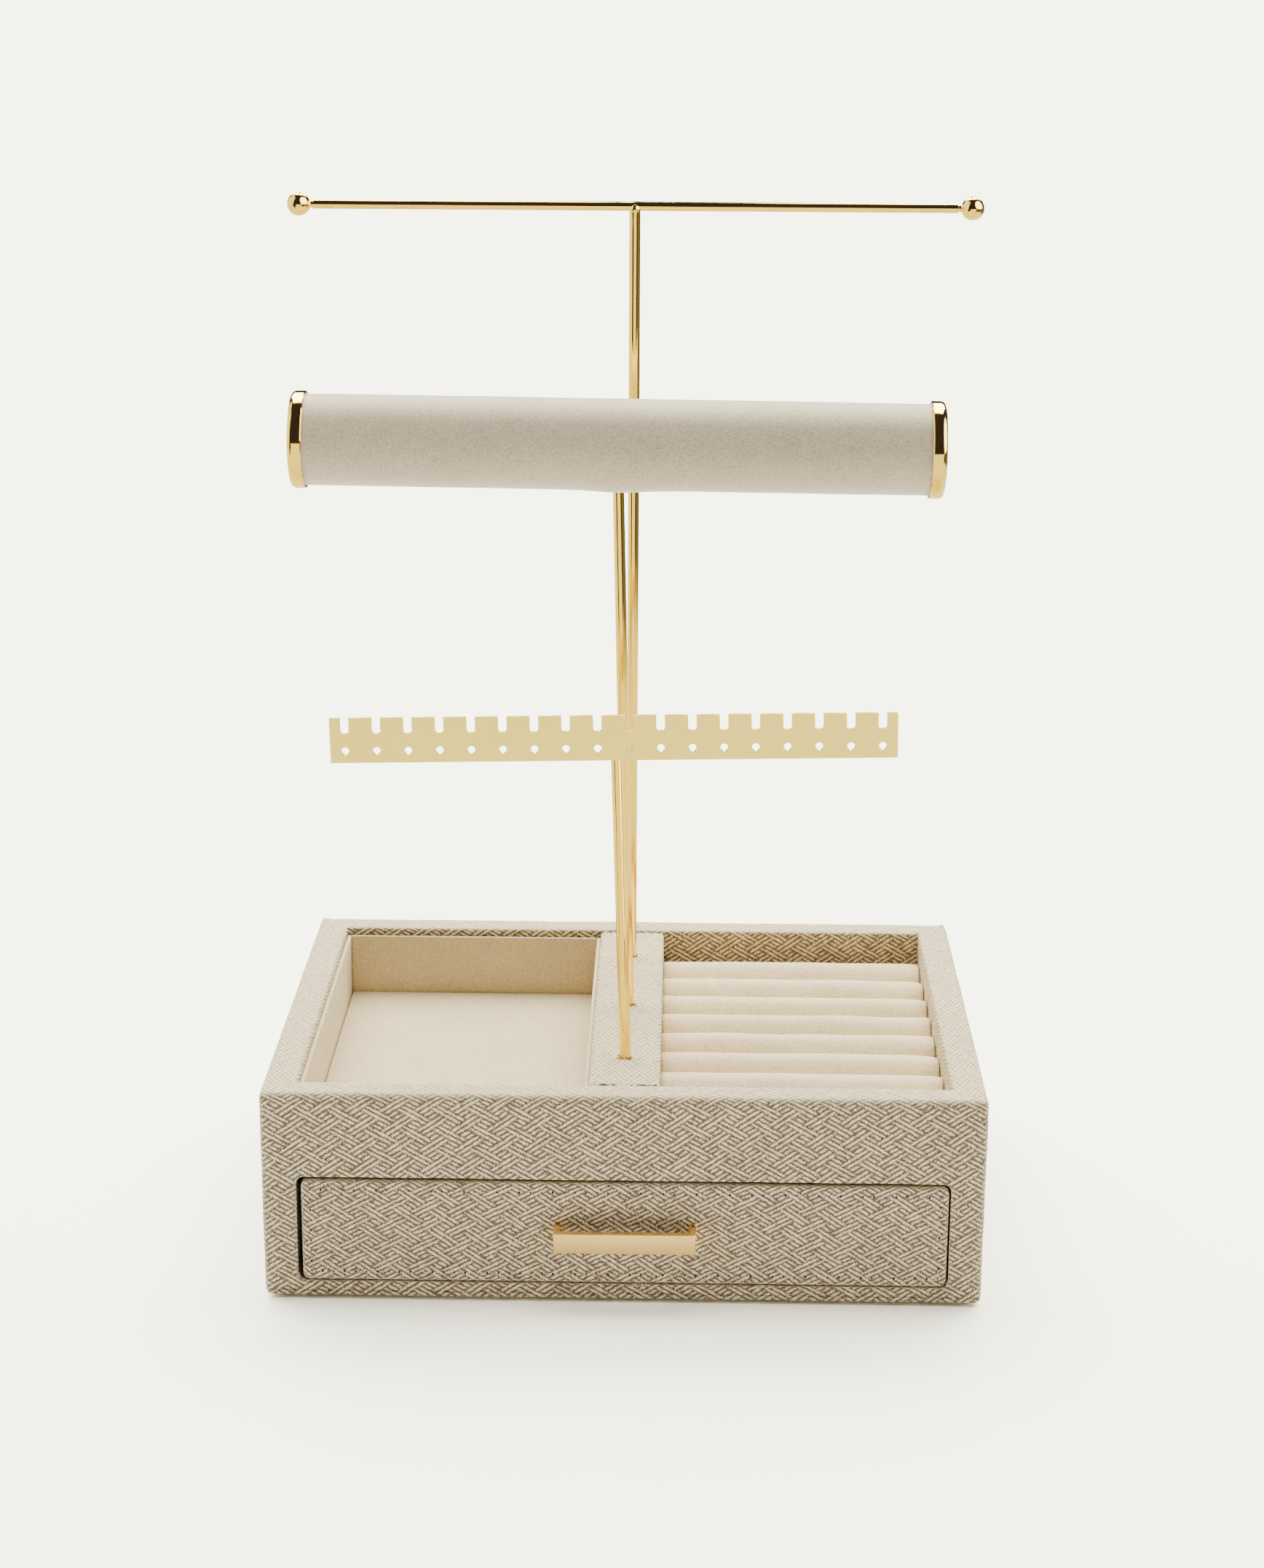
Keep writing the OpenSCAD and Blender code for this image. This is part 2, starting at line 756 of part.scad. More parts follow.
// The post's round end is drilled across, and the thinner bar is brazed in it.
module necklace_post() {
    h = necklace_rise - weld_drop;
    color(BRASS) at_necklace() difference() {
        union() {
            translate([0, 0, -post_depth]) cylinder(d = post_d, h = post_depth + h);
            translate([0, 0, h]) sphere(d = post_d);
        }
        necklace_rod(necklace_d);
    }
}

module necklace_bar() {
    color(BRASS) at_necklace() difference() {
        necklace_rod(necklace_d);
        for (s = [-1, 1]) translate([s * bar_end, 0, necklace_rise]) rotate([0, 90, 0])
            cylinder(d = ball_stud_d + 2 * fit_clear, h = 2 * (ball_stud_h + run_clear), center = true);
    }
}

module necklace_ball(s) {
    color(BRASS) at_necklace() mirror([s < 0 ? 1 : 0, 0, 0]) translate([bar_end, 0, necklace_rise]) {
        translate([neck_h + ball_d / 2, 0, 0]) sphere(d = ball_d);
        rotate([0, 90, 0]) cylinder(d = neck_d, h = neck_h + ball_d / 2);
        rotate([0, -90, 0]) cylinder(d = ball_stud_d, h = ball_stud_h);
    }
}

module necklace_left_ball() { necklace_ball(-1); }

module necklace_right_ball() { necklace_ball(1); }

// ---- one node at a time, or all ----

base_felt();
case_bottom();
front_frame();
left_wall();
right_wall();
back_wall();
case_cover();
bay_lining();
tray_deck();
divider();
divider_cover();
post_inserts();
tray_left_lining();
tray_right_lining();
tray_front_lining();
tray_back_lining();
tray_floor_pad();
ring_board();
for (i = [1 : roll_count]) ring_roll(i);
drawer_front();
drawer_front_cover();
drawer_left_side();
drawer_right_side();
drawer_back();
drawer_floor();
drawer_left_lining();
drawer_right_lining();
drawer_front_lining();
drawer_back_lining();
drawer_floor_pad();
handle();
handle_washers();
handle_nuts();
earring_post();
earring_bar();
bracelet_post();
bracelet_saddle();
bracelet_tube();
bracelet_sleeve();
bracelet_left_cap();
bracelet_right_cap();
necklace_post();
necklace_bar();
necklace_left_ball();
necklace_right_ball();
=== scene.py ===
# %% [markdown]
# # A jewellery stand with a drawer
# The real object is a fibreboard case wrapped in woven cloth, with an open tray, a pad of
# velvet rolls for rings and a drawer. Three gilt posts rise from a bar across its middle and
# carry a necklace bar, a padded bracelet bar and a pierced earring bar.
# The packed model gives every piece its place, so each piece below is made round it.
# Each step says what the piece is on the real object, how it could be made, and why it is
# made the way that it is.

# %% Load the packed model
import json
import math

import bmesh
import bpy
from mathutils import Matrix, Vector, noise


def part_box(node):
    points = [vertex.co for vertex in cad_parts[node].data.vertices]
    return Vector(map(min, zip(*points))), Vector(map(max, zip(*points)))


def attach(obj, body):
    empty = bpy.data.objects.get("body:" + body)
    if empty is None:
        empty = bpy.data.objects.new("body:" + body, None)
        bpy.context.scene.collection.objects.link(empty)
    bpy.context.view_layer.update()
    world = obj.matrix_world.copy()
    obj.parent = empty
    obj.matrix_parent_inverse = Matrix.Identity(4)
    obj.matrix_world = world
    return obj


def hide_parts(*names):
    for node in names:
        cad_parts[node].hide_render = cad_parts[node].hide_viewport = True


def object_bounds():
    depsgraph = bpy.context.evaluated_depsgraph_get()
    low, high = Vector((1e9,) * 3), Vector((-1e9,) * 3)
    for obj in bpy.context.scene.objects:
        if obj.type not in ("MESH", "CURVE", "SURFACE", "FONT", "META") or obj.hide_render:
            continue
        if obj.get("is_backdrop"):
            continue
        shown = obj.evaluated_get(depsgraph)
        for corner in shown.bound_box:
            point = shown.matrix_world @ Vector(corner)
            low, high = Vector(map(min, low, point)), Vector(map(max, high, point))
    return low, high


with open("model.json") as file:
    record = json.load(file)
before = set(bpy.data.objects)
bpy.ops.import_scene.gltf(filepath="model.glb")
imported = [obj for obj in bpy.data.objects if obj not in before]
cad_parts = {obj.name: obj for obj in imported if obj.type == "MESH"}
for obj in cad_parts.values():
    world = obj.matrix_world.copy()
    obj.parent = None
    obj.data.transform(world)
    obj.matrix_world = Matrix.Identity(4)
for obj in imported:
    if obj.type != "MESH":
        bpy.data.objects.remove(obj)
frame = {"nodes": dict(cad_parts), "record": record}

MM = 0.001


def in_mm(lengths):
    """Lengths in metres, as short numbers in mm for printing."""
    return [round(x / MM, 1) for x in lengths]


def new_object(name, data):
    """An object that is in the scene."""
    made = bpy.data.objects.new(name, data)
    bpy.context.scene.collection.objects.link(made)
    return made


cad_box = [list(corner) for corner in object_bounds()]
print("box of the model in mm:", *map(in_mm, cad_box))

# %% [markdown]
# ## The camera
# A camera can be placed by eye, or solved from the picture. Here it was solved: the case's
# corners and the feet of the posts fix where the lens stood, how it was turned and how long
# it was. The three turns are written as one matrix, whose rows are the picture's right, down
# and into-the-picture directions.

# %% Place the camera
PICTURE_H = 2154
LENS_PIXELS = 3979.2
SENSOR_MM = 36
PITCH, YAW, ROLL = 0.296385, -0.017479, 0.0051846
EYE = Vector((18.43, -1003.41, 468.05)) * MM


def picture_axes(pitch, yaw, roll):
    """The picture's right, down and forward directions, as the rows of a matrix."""
    level = Matrix(((1, 0, 0), (0, 0, -1), (0, 1, 0)))
    turn = Matrix.Rotation(roll, 3, "Z")
    tip = Matrix.Rotation(pitch, 3, "X")
    swing = Matrix.Rotation(yaw, 3, "Z")
    return turn @ tip @ level @ swing


right, down, forward = picture_axes(PITCH, YAW, ROLL)
camera_data = bpy.data.cameras.new("camera")
camera_data.sensor_fit = "AUTO"
camera_data.sensor_width = SENSOR_MM
camera_data.lens = LENS_PIXELS / PICTURE_H * SENSOR_MM
camera_data.clip_start, camera_data.clip_end = 0.05, 200
camera = new_object("camera", camera_data)
turned = Matrix((right, -down, -forward)).transposed()
camera.matrix_world = Matrix.Translation(EYE) @ turned.to_4x4()
bpy.context.scene.camera = camera
print(f"lens: {camera_data.lens:.2f} mm; looks {math.degrees(PITCH):.2f} degrees down")

# %% [markdown]
# ## Maths in a material
# A material's nodes are easy to lose track of when each is wired by hand. One small class
# wraps a socket, so that a pattern can be written as an ordinary expression: `1 - mask`
# adds a Math node by itself. Everything else comes from one method, `node`, which takes the
# node's type, what goes into its sockets and its settings.


# %% A wire that can be reckoned with
def reckoned(operation, reflected=False):
    """A method that adds a Math node. A reflected one has its wire last, as in 1 - mask."""
    def method(wire, *others):
        values = (*others, wire) if reflected else (wire, *others)
        return wire.finish.node("ShaderNodeMath", dict(enumerate(values)), operation=operation)[0]
    return method


class Wire:
    """A number that flows through a material's nodes."""

    __add__, __radd__ = reckoned("ADD"), reckoned("ADD", reflected=True)
    __sub__, __rsub__ = reckoned("SUBTRACT"), reckoned("SUBTRACT", reflected=True)
    __mul__, __rmul__ = reckoned("MULTIPLY"), reckoned("MULTIPLY", reflected=True)
    __truediv__, __rtruediv__ = reckoned("DIVIDE"), reckoned("DIVIDE", reflected=True)
    __mod__, __pow__ = reckoned("FLOORED_MODULO"), reckoned("POWER")
    __gt__, __lt__ = reckoned("GREATER_THAN"), reckoned("LESS_THAN")
    floor, fract, size = reckoned("FLOOR"), reckoned("FRACT"), reckoned("ABSOLUTE")
    sqrt, sine = reckoned("SQRT"), reckoned("SINE")
    at_least, at_most = reckoned("MAXIMUM"), reckoned("MINIMUM")

    def __init__(self, finish, socket):
        self.finish, self.socket = finish, socket

    def ease(self, low, high):
        """0 below low, 1 above high, and a smooth climb between them."""
        return self.finish.node("ShaderNodeMapRange", {
            "Value": self, "From Min": low, "From Max": high, "To Min": 0.0, "To Max": 1.0},
            interpolation_type="SMOOTHSTEP")["Result"]


class Finish:
    """A material, or the world, and the nodes that are added to it."""

    def __init__(self, owner):
        owner.use_nodes = True
        self.owner, self.tree = owner, owner.node_tree
        self.tree.nodes.clear()

    def node(self, kind, inputs=None, **settings):
        """Adds a node: its settings first, then the values or wires of its sockets."""
        made = self.tree.nodes.new(kind)
        for name, value in settings.items():
            setattr(made, name, value)
        for name, value in (inputs or {}).items():
            socket = made.inputs[name]
            if isinstance(value, Wire):
                self.tree.links.new(value.socket, socket)
            elif getattr(socket, "type", "") == "RGBA" and len(value) == 3:
                socket.default_value = (*value, 1.0)
            else:
                socket.default_value = value
        return Outputs(self, made)

    def mix(self, share, first, second):
        """Goes from the first colour to the second as share goes from 0 to 1."""
        return self.node("ShaderNodeMix", {"Factor": share, 6: first, 7: second}, data_type="RGBA")[2]

    def noise(self, where, scale, detail=2.0, roughness=0.5):
        """Smooth random values, scale of them to a metre."""
        return self.node("ShaderNodeTexNoise", {
            "Vector": where, "Scale": scale, "Detail": detail, "Roughness": roughness})["Fac"]

    def place(self):
        """Where a point lies on its object, in metres."""
        return self.node("ShaderNodeTexCoord")["Object"]

    def parts(self, vector):
        """The x, y and z of a vector."""
        made = self.node("ShaderNodeSeparateXYZ", {0: vector})
        return made[0], made[1], made[2]

    def facing(self):
        """The x, y and z of the way that the surface faces."""
        return self.parts(self.node("ShaderNodeNewGeometry")["Normal"])

    def relief(self, height, depth):
        """A bump as deep as depth, in metres, where height goes from 0 to 1."""
        return self.node("ShaderNodeBump", {"Height": height, "Strength": 1.0, "Distance": depth})["Normal"]

    def surface(self, **values):
        """The material's shader: what varies is wired in, and the rest is set on its sockets."""
        inputs = {name.replace("_", " "): value for name, value in values.items()}
        shader = self.node("ShaderNodeBsdfPrincipled", inputs)
        self.node("ShaderNodeOutputMaterial", {"Surface": shader["BSDF"]})
        return self.owner


class Outputs:
    """A node's outputs, by number or by name, each as a wire."""

    def __init__(self, finish, made):
        self.finish, self.made = finish, made

    def __getitem__(self, name):
        return Wire(self.finish, self.made.outputs[name])


def new_finish(name):
    return Finish(bpy.data.materials.new(name))


def times(colour, k):
    """A colour k times as bright, but no brighter than white."""
    return tuple(min(1.0, c * k) for c in colour)


print("a wire can also:", [name for name in vars(Wire) if not name.startswith("_")])

# %% [markdown]
# ## The studio
# The object stands on a white floor that runs on out of sight. A wide soft light hangs over
# its back, so the tops are bright, the front is darker and the shadow falls forwards. The
# room behind the camera is dark, and that draws the brown bands on the polished metal.
# Metal shows the room itself, and cloth only gathers its light, and a lens prints the paper
# almost white. So the world and the floor each have one tone for what metal mirrors, one for
# what cloth gathers and one for the lens. The room that metal mirrors has a bright wall on
# the left, a big round softbox on the right and two white panels over the back.

# %% Light the studio
LIGHT_TINT = (1.0, 0.97, 0.90)
SUN_POWER, SUN_WIDTH = 9.8, math.radians(80)
SUN_WAY = Vector((0.03, -0.49, -0.87))
ROOM_DARK, WALL_BRIGHT, BOX_BRIGHT, PANEL_BRIGHT = 0.045, 2.3, 7.5, 19.0

studio = bpy.data.worlds.new("studio")
bpy.context.scene.world = studio
room = Finish(studio)
x, y, z = room.parts(room.node("ShaderNodeTexCoord")["Generated"])
level = (x * x + y * y).sqrt().at_least(0.001)
rightwards, forwards = x / level, (0 - y) / level
path = room.node("ShaderNodeLightPath")

left_wall = (0 - rightwards).ease(0.70, 0.80) * (1 - z.ease(0.75, 0.95))
right_wall = rightwards.ease(0.80, 0.95) * (1 - z.ease(0.6, 0.9))
softbox = (x * 0.843 - y * 0.304 + z * 0.445).ease(0.765, 0.795)
over_back = (0 - forwards).ease(0.80, 0.86) * z.ease(0.42, 0.46) * (1 - z.ease(0.93, 0.96))
panels = over_back * rightwards.size().ease(0.05, 0.09)
mirrored = (ROOM_DARK + left_wall * WALL_BRIGHT + right_wall * 0.22).at_most(WALL_BRIGHT)
mirrored = mirrored + softbox * (BOX_BRIGHT - mirrored)
mirrored = mirrored + panels * (PANEL_BRIGHT - mirrored)
from_sides = 0.06 + 0.55 * rightwards.ease(0.4, 1.0) + 0.30 * (0 - rightwards).ease(0.3, 1.0)
gathered = from_sides + 2.0 * (0 - forwards).ease(0.0, 0.9)


def background(colour, strength):
    """Light that comes from all round."""
    return room.node("ShaderNodeBackground", {"Color": colour, "Strength": strength})[0]


def shared(share, first, second):
    """The first light or the second, by the kind of ray."""
    return room.node("ShaderNodeMixShader", {0: share, 1: first, 2: second})[0]


room_tint = room.mix(mirrored.ease(0.05, 0.6), (1.0, 0.85, 2.6), LIGHT_TINT)
unseen = shared(path["Is Glossy Ray"], background(LIGHT_TINT, gathered), background(room_tint, mirrored))
both = shared(path["Is Camera Ray"], unseen, background((1.0, 1.0, 0.83), 6.1))
room.node("ShaderNodeOutputWorld", {"Surface": both})

overhead_data = bpy.data.lights.new("wide_overhead_light", "SUN")
overhead_data.energy, overhead_data.angle, overhead_data.color = SUN_POWER, SUN_WIDTH, LIGHT_TINT
overhead = new_object("wide_overhead_light", overhead_data)
overhead.rotation_mode = "QUATERNION"
overhead.rotation_quaternion = SUN_WAY.to_track_quat("-Z", "Y")
overhead.visible_glossy = False

# %% Lay the floor
FLOOR_HALF = 40

floor_bm = bmesh.new()
bmesh.ops.create_grid(floor_bm, x_segments=1, y_segments=1, size=FLOOR_HALF)
floor_mesh = bpy.data.meshes.new("floor")
floor_bm.to_mesh(floor_mesh)
floor_bm.free()
floor = new_object("floor", floor_mesh)
paper = new_finish("white_paper")
paper_place = paper.place()
floor_x, floor_y, _ = paper.parts(paper_place)
reach = (floor_x * floor_x + floor_y * floor_y).sqrt().at_least(0.001)
to_right, to_front = floor_x / reach, (0 - floor_y) / reach
paper_path = paper.node("ShaderNodeLightPath")
left_edge = to_right - reach.ease(0.6, 1.9) * 0.20
between = to_right.ease(-0.84, -0.78) * (1 - left_edge.ease(-0.60, -0.53))
dim_left = between * to_front.ease(0.0, 0.2) * reach.ease(0.45, 0.9)
round_the_side = to_right + (0 - to_front).at_least(0.0) * 0.6
how_dim = 0.90 + 0.10 * (1 - to_right.ease(0.80, 0.95)) * to_front.ease(0.1, 0.3)
dim_right = round_the_side.ease(0.50, 0.62) * how_dim * reach.ease(0.70, 1.05)
lit = (1 - dim_left) * (1 - dim_right)
paper_grain = paper.noise(paper_place, 3.0)
for_lens = paper.mix(paper_grain, (1.72, 1.77, 1.57), (1.74, 1.79, 1.59))
for_metal = paper.mix(lit, (0.011, 0.008, 0.045), (0.58, 0.58, 0.57))
# Painted light: by the case's front the floor is brighter for the light that cloth gathers, a painted pool of
# bounce light.
painted_bounce_pool = (1 - reach.ease(0.12, 0.21)) * to_front.ease(0.2, 0.7)
for_cloth = paper.mix(painted_bounce_pool, (0.86, 0.855, 0.83), (1.55, 1.53, 1.50))
tone = paper.mix(paper_path["Is Glossy Ray"], for_cloth, for_metal)
seen_tone = paper.mix(paper_path["Is Camera Ray"], tone, for_lens)
matt = paper.node("ShaderNodeBsdfDiffuse", {"Color": seen_tone})
paper.node("ShaderNodeOutputMaterial", {"Surface": matt[0]})
floor_mesh.materials.append(paper.owner)
floor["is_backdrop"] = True
print("floor:", [round(x, 1) for x in floor.dimensions], "m")

# %% [markdown]
# ## The woven cloth
# The cloth is a basket of slanting cords: bundles of parallel cords lie over one another in
# two directions, 30 degrees up and 30 degrees down. A photograph of cloth could be wrapped
# round the case, but a pattern that is worked out stays sharp at any distance.
# Two skew numbers, p and q, count the cords of each direction. The whole parts of p and q
# say which crossing a point lies in, and a short rule says which cord is on top there. The
# parts left over say how far across its cord the point lies, which gives the round shape,
# and each cord dips where it goes under at the ends of its float.

# %% Weave the cloth
# How many cords are crossed for each mm along and up the cloth, and the count at its origin:
# first across the rising cords' crossings, then across the falling ones'.
CASE_CORDS = ((0.3158, 0.5479, -36.62), (0.3460, -0.5011, 32.88))
DRAWER_CORDS = ((0.3539, 0.5197, 0.51), (0.3047, -0.5759, 34.04))


def on_top(p, q):
    """1 where the rising cord is on top, 0 where the falling one is."""
    column, row = p.floor() % 8, q.floor() % 8
    second = row > 3.5
    column = (column + 4 * second) % 8
    row = row - 4 * second
    return column < 6 - 4 * (row > 1.5)


def cord_shape(across, ahead, behind, along):
    """How high a cord stands at a point: round across, and low where it goes under."""
    round_top = 1 - (across * 2 - 1) ** 2
    dip = (1 - ahead) * along.ease(0.35, 1.0) + (1 - behind) * (1 - along.ease(0.0, 0.65))
    return round_top * (1 - 0.30 * dip.at_most(1.0))


# The gap colours are painted shade and painted light: the darker one is a gap in the cords' own shadow, as on
# an upright face, and the paler one is a gap that light falls straight into.
LIGHT_CORD = (0.95, 0.825, 0.52)
SHADED_GAP = (0.160, 0.112, 0.071)
LIT_GAP = tuple(0.60 * gap + 0.40 * cord for gap, cord in zip(SHADED_GAP, LIGHT_CORD))
SLOW_BEND, QUICK_BEND = 0.8, 0.60


def woven_cloth(name, cords, painted_shade):
    """The cloth's finish. The last argument gives how much painted shade each point gets, 0 to 1."""
    cloth = new_finish(name)
    flat = cloth.node("ShaderNodeUVMap", uv_map="weave")["UV"]
    place = cloth.place()
    flat_u, flat_v, _ = cloth.parts(flat)
    moved = cloth.node("ShaderNodeMapping", {"Vector": place, "Location": (3.1, 1.7, 5.3)})[0]
    wobble_u = cloth.noise(place, 45.0, 1.0) - 0.5
    wobble_v = cloth.noise(moved, 45.0, 1.0) - 0.5
    u = flat_u / MM + wobble_u * SLOW_BEND + (cloth.noise(place, 640.0) - 0.5) * QUICK_BEND
    v = flat_v / MM + wobble_v * SLOW_BEND + (cloth.noise(place, 760.0) - 0.5) * QUICK_BEND
    p, q = (u * along + v * up + start for along, up, start in cords)
    part_p, part_q = p.fract(), q.fract()
    here = on_top(p, q)
    rising = cord_shape(part_q, on_top(p + 1, q), on_top(p - 1, q), part_p)
    falling = cord_shape(part_p, 1 - on_top(p, q + 1), 1 - on_top(p, q - 1), part_q)
    height = falling + here * (rising - falling)
    lengthways = q + here * (p - q)
    crossways = part_p + here * (part_q - part_p)
    fuzz = cloth.noise(place, 1500.0)
    lumps = cloth.noise(place, 520.0)
    twist = ((lengthways * 2.4 + crossways * 0.9 + lumps * 0.9) * 2 * math.pi).sine()
    patch = cloth.noise(place, 60.0, 3.0)
    cover = (height + twist * 0.15 + (fuzz - 0.5) * 1.15 + (lumps - 0.5) * 1.0).ease(0.32, 1.12)
    speck = (lumps.ease(0.60, 0.72) + (0 - twist).ease(0.3, 0.9) * 0.5).at_most(1.0) * (1 - cover)
    # Painted shade and light: the gaps, and the specks in them, are darker where the cloth stands upright and
    # paler where it faces up or to the side, as light falls into them.
    to_side, _, upwards = cloth.facing()
    open_to_light = (upwards.ease(0.35, 0.95) + to_side.size() * 0.7).at_most(1.0)
    cord = cloth.mix(patch.ease(0.3, 0.7), LIGHT_CORD, times(LIGHT_CORD, 0.93))
    colour = cloth.mix(cover, cloth.mix(open_to_light, SHADED_GAP, LIT_GAP), cord)
    colour = cloth.mix(speck * (0.75 - 0.45 * open_to_light), colour, times(SHADED_GAP, 0.3))
    # Painted shade in folds, grooves and openings: the colour darkens there towards near black.
    depth = painted_shade(*(part / MM for part in cloth.parts(place)), cloth.noise(place, 330.0))
    colour = cloth.mix(depth.at_most(1.0), colour, times(SHADED_GAP, 0.16))
    relief = height + twist * 0.12 + (fuzz - 0.5) * 0.25
    return cloth.surface(
        Base_Color=colour, Roughness=0.86, Normal=cloth.relief(relief, 0.30 * MM),
        Sheen_Weight=0.12, Sheen_Roughness=0.5, Specular_IOR_Level=0.25)


def case_painted_shade(x, y, z, raggedness):
    """Painted shade: a ragged dark line along the fold just over the foot, and the shade inside the drawer's
    opening.
    """
    off_fold = ((z - 3.3 + (raggedness - 0.5) * 1.6) / 0.45).size()
    fold = (1 - off_fold).at_least(0.0) * raggedness.ease(0.35, 0.60) * 0.8
    behind = y.ease(-89.5, -86.5) * (1 - y.ease(-72.0, -70.5))
    inside = behind * (1 - z.ease(46.4, 46.9)) * z.ease(6.2, 6.6) * (1 - x.size().ease(113.6, 114.4))
    return fold + inside * 0.8


def divider_painted_shade(x, y, z, raggedness):
    """Painted shade: a ragged dark line at the strip's ends, where they meet the walls, and a ragged ring of
    shade round each post's foot.
    """
    ends = (1 - (77.9 - y.size() - raggedness.ease(0.35, 0.65) * 1.3) / 0.6).at_least(0.0).at_most(1.0)
    post_foot_shade = 0.0
    for foot_y in (-51.5, 0.0, 51.5):
        from_foot = (x * x + (y - foot_y) * (y - foot_y)).sqrt()
        post_foot_shade = (1 - (from_foot - 1.9 - raggedness.ease(0.40, 0.62) * 1.1) / 0.5).at_least(0.0).at_most(1.0) + post_foot_shade
    return (ends * 0.95 + post_foot_shade * 0.8) * z.ease(72.0, 74.0)


def drawer_painted_shade(x, y, z, raggedness):
    """The shade down the edges of the drawer's front."""
    return y.ease(-89.3, -87.6) * (1 - y.ease(-85.0, -82.0)) * 0.6


case_weave = woven_cloth("woven_cloth", CASE_CORDS, case_painted_shade)
divider_weave = woven_cloth("woven_cloth_of_divider", CASE_CORDS, divider_painted_shade)
drawer_weave = woven_cloth("woven_cloth_of_drawer", DRAWER_CORDS, drawer_painted_shade)
print("nodes in the cloth:", len(case_weave.node_tree.nodes))

# %% [markdown]
# ## Suede, velvet, board and felt
# The cards of the tray are covered in thin suede and the ring pad in velvet. Close up both
# are a short nap, lighter where it leans away, so each gets a fine grain for the nap and a
# slow drift of tone for where it was stroked. The boards and the felt are seen only from
# below or with the drawer open, and they get their own grain too.


# %% Make the soft finishes
def napped(name, base, drift, nap_scale, depth, sheen, stretch=(1.0, 1.0, 1.0), crown=1.0):
    """A short-napped cloth: a fine grain over slow drifts of tone. A crown over 1 paints the
    parts that face up that many times paler, as painted light along a lit top."""
    nap = new_finish(name)
    place = nap.place()
    combed = nap.node("ShaderNodeMapping", {"Vector": place, "Scale": stretch})[0]
    grain = nap.noise(combed, nap_scale, 3.0, 0.6)
    stroked = nap.noise(place, 28.0, 3.0, 0.6)
    cloud = nap.noise(place, 150.0)
    fibres = nap.noise(combed, nap_scale * 0.55, 2.0, 0.7)
    fine = grain.ease(0.38, 0.62) * 0.4 + fibres.ease(0.38, 0.62) * 0.4
    tone = fine + stroked.ease(0.3, 0.7) * 0.12 + cloud.ease(0.3, 0.7) * 0.08
    low, high = times(base, 1 - drift), times(base, 1 + drift)
    colour = nap.mix(tone, low, high)
    if crown > 1.0:
        painted_top_light = nap.mix(tone, times(low, crown), times(high, crown))
        colour = nap.mix(nap.facing()[2].ease(0.55, 1.0), colour, painted_top_light)
    return nap.surface(
        Base_Color=colour, Roughness=0.92,
        Normal=nap.relief(grain * 0.5 + fibres * 0.4 + cloud * 0.1, depth),
        Sheen_Weight=sheen, Sheen_Roughness=0.45, Specular_IOR_Level=0.15)


suede = napped("suede", (0.66, 0.555, 0.355), 0.20, 1900.0, 0.20 * MM, 0.08)
roll_velvet = napped("roll_velvet", (0.83, 0.67, 0.42), 0.22, 1900.0, 0.30 * MM, 0.15)
# The bar's crown paints its top paler: painted light along the lit top of the bar.
bar_velvet = napped("bar_velvet", (0.45, 0.385, 0.262), 0.26, 2300.0, 0.36 * MM, 0.9,
                    stretch=(0.7, 1.0, 1.0), crown=1.9)
felt = napped("felt", (0.62, 0.56, 0.46), 0.10, 700.0, 0.30 * MM, 0.05)


def fibreboard(name, base):
    """Pressed fibres in flat layers, a little blotched."""
    made = new_finish(name)
    place = made.place()
    layered = made.node("ShaderNodeMapping", {"Vector": place, "Scale": (1.0, 1.0, 3.0)})[0]
    fibres = made.noise(layered, 900.0, 4.0, 0.7)
    tone = fibres * 0.6 + made.noise(place, 60.0) * 0.4
    return made.surface(
        Base_Color=made.mix(tone.ease(0.3, 0.7), times(base, 0.8), base),
        Roughness=0.8, Normal=made.relief(fibres, 0.1 * MM), Specular_IOR_Level=0.3)


board = fibreboard("fibreboard", (0.50, 0.36, 0.22))
covered_board = fibreboard("paper_covered_board", (0.78, 0.70, 0.58))
print("soft finishes:", [m.name for m in (suede, roll_velvet, bar_velvet, felt, board, covered_board)])

# %% [markdown]
# ## Gold
# The posts, balls and caps are polished and gilt, so nearly all of their look is what they
# reflect. The earring bar and the handle are brushed to a satin. Real plating is never
# perfectly even: its gloss drifts, and rolled rod keeps a faint waviness.


# %% Make the metals
TARNISH = (0.93, 0.86, 0.75)


def gilt(name, base, gloss, drift, wave):
    """A metal whose gloss drifts a little, with spots of tarnish and a faint waviness."""
    metal = new_finish(name)
    place = metal.place()
    cloud = metal.noise(place, 90.0)
    dust = metal.noise(place, 2600.0)
    spots = metal.noise(place, 240.0, 3.0).ease(0.58, 0.80)
    return metal.surface(
        Base_Color=metal.mix(spots * 0.35, base, tuple(c * k for c, k in zip(base, TARNISH))),
        Metallic=1.0, Roughness=gloss + (cloud - 0.5) * drift + (dust - 0.5) * drift * 0.6,
        Normal=metal.relief(cloud, wave))


polished_gold = gilt("polished_gold", (0.94, 0.63, 0.085), 0.072, 0.03, 0.03 * MM)
satin_gold = gilt("satin_gold", (0.99, 0.75, 0.15), 0.32, 0.05, 0.01 * MM)
handle_gold = gilt("handle_gold", (0.98, 0.65, 0.21), 0.22, 0.05, 0.008 * MM)
plated_steel = gilt("plated_steel", (0.62, 0.61, 0.58), 0.30, 0.1, 0.01 * MM)
print("metals:", [m.name for m in (polished_gold, satin_gold, handle_gold, plated_steel)])

# %% [markdown]
# ## Showing a piece
# Every piece goes the same way: its mesh gets its finish, it is told which body it rides on,
# and the plain solids of the model that it stands for are hidden. One helper does that for all of them.
# Other helpers make the block that most pieces start from, and cut a mesh at even steps, so
# that it has points to move. Two put a mesh through a modifier and take it back.


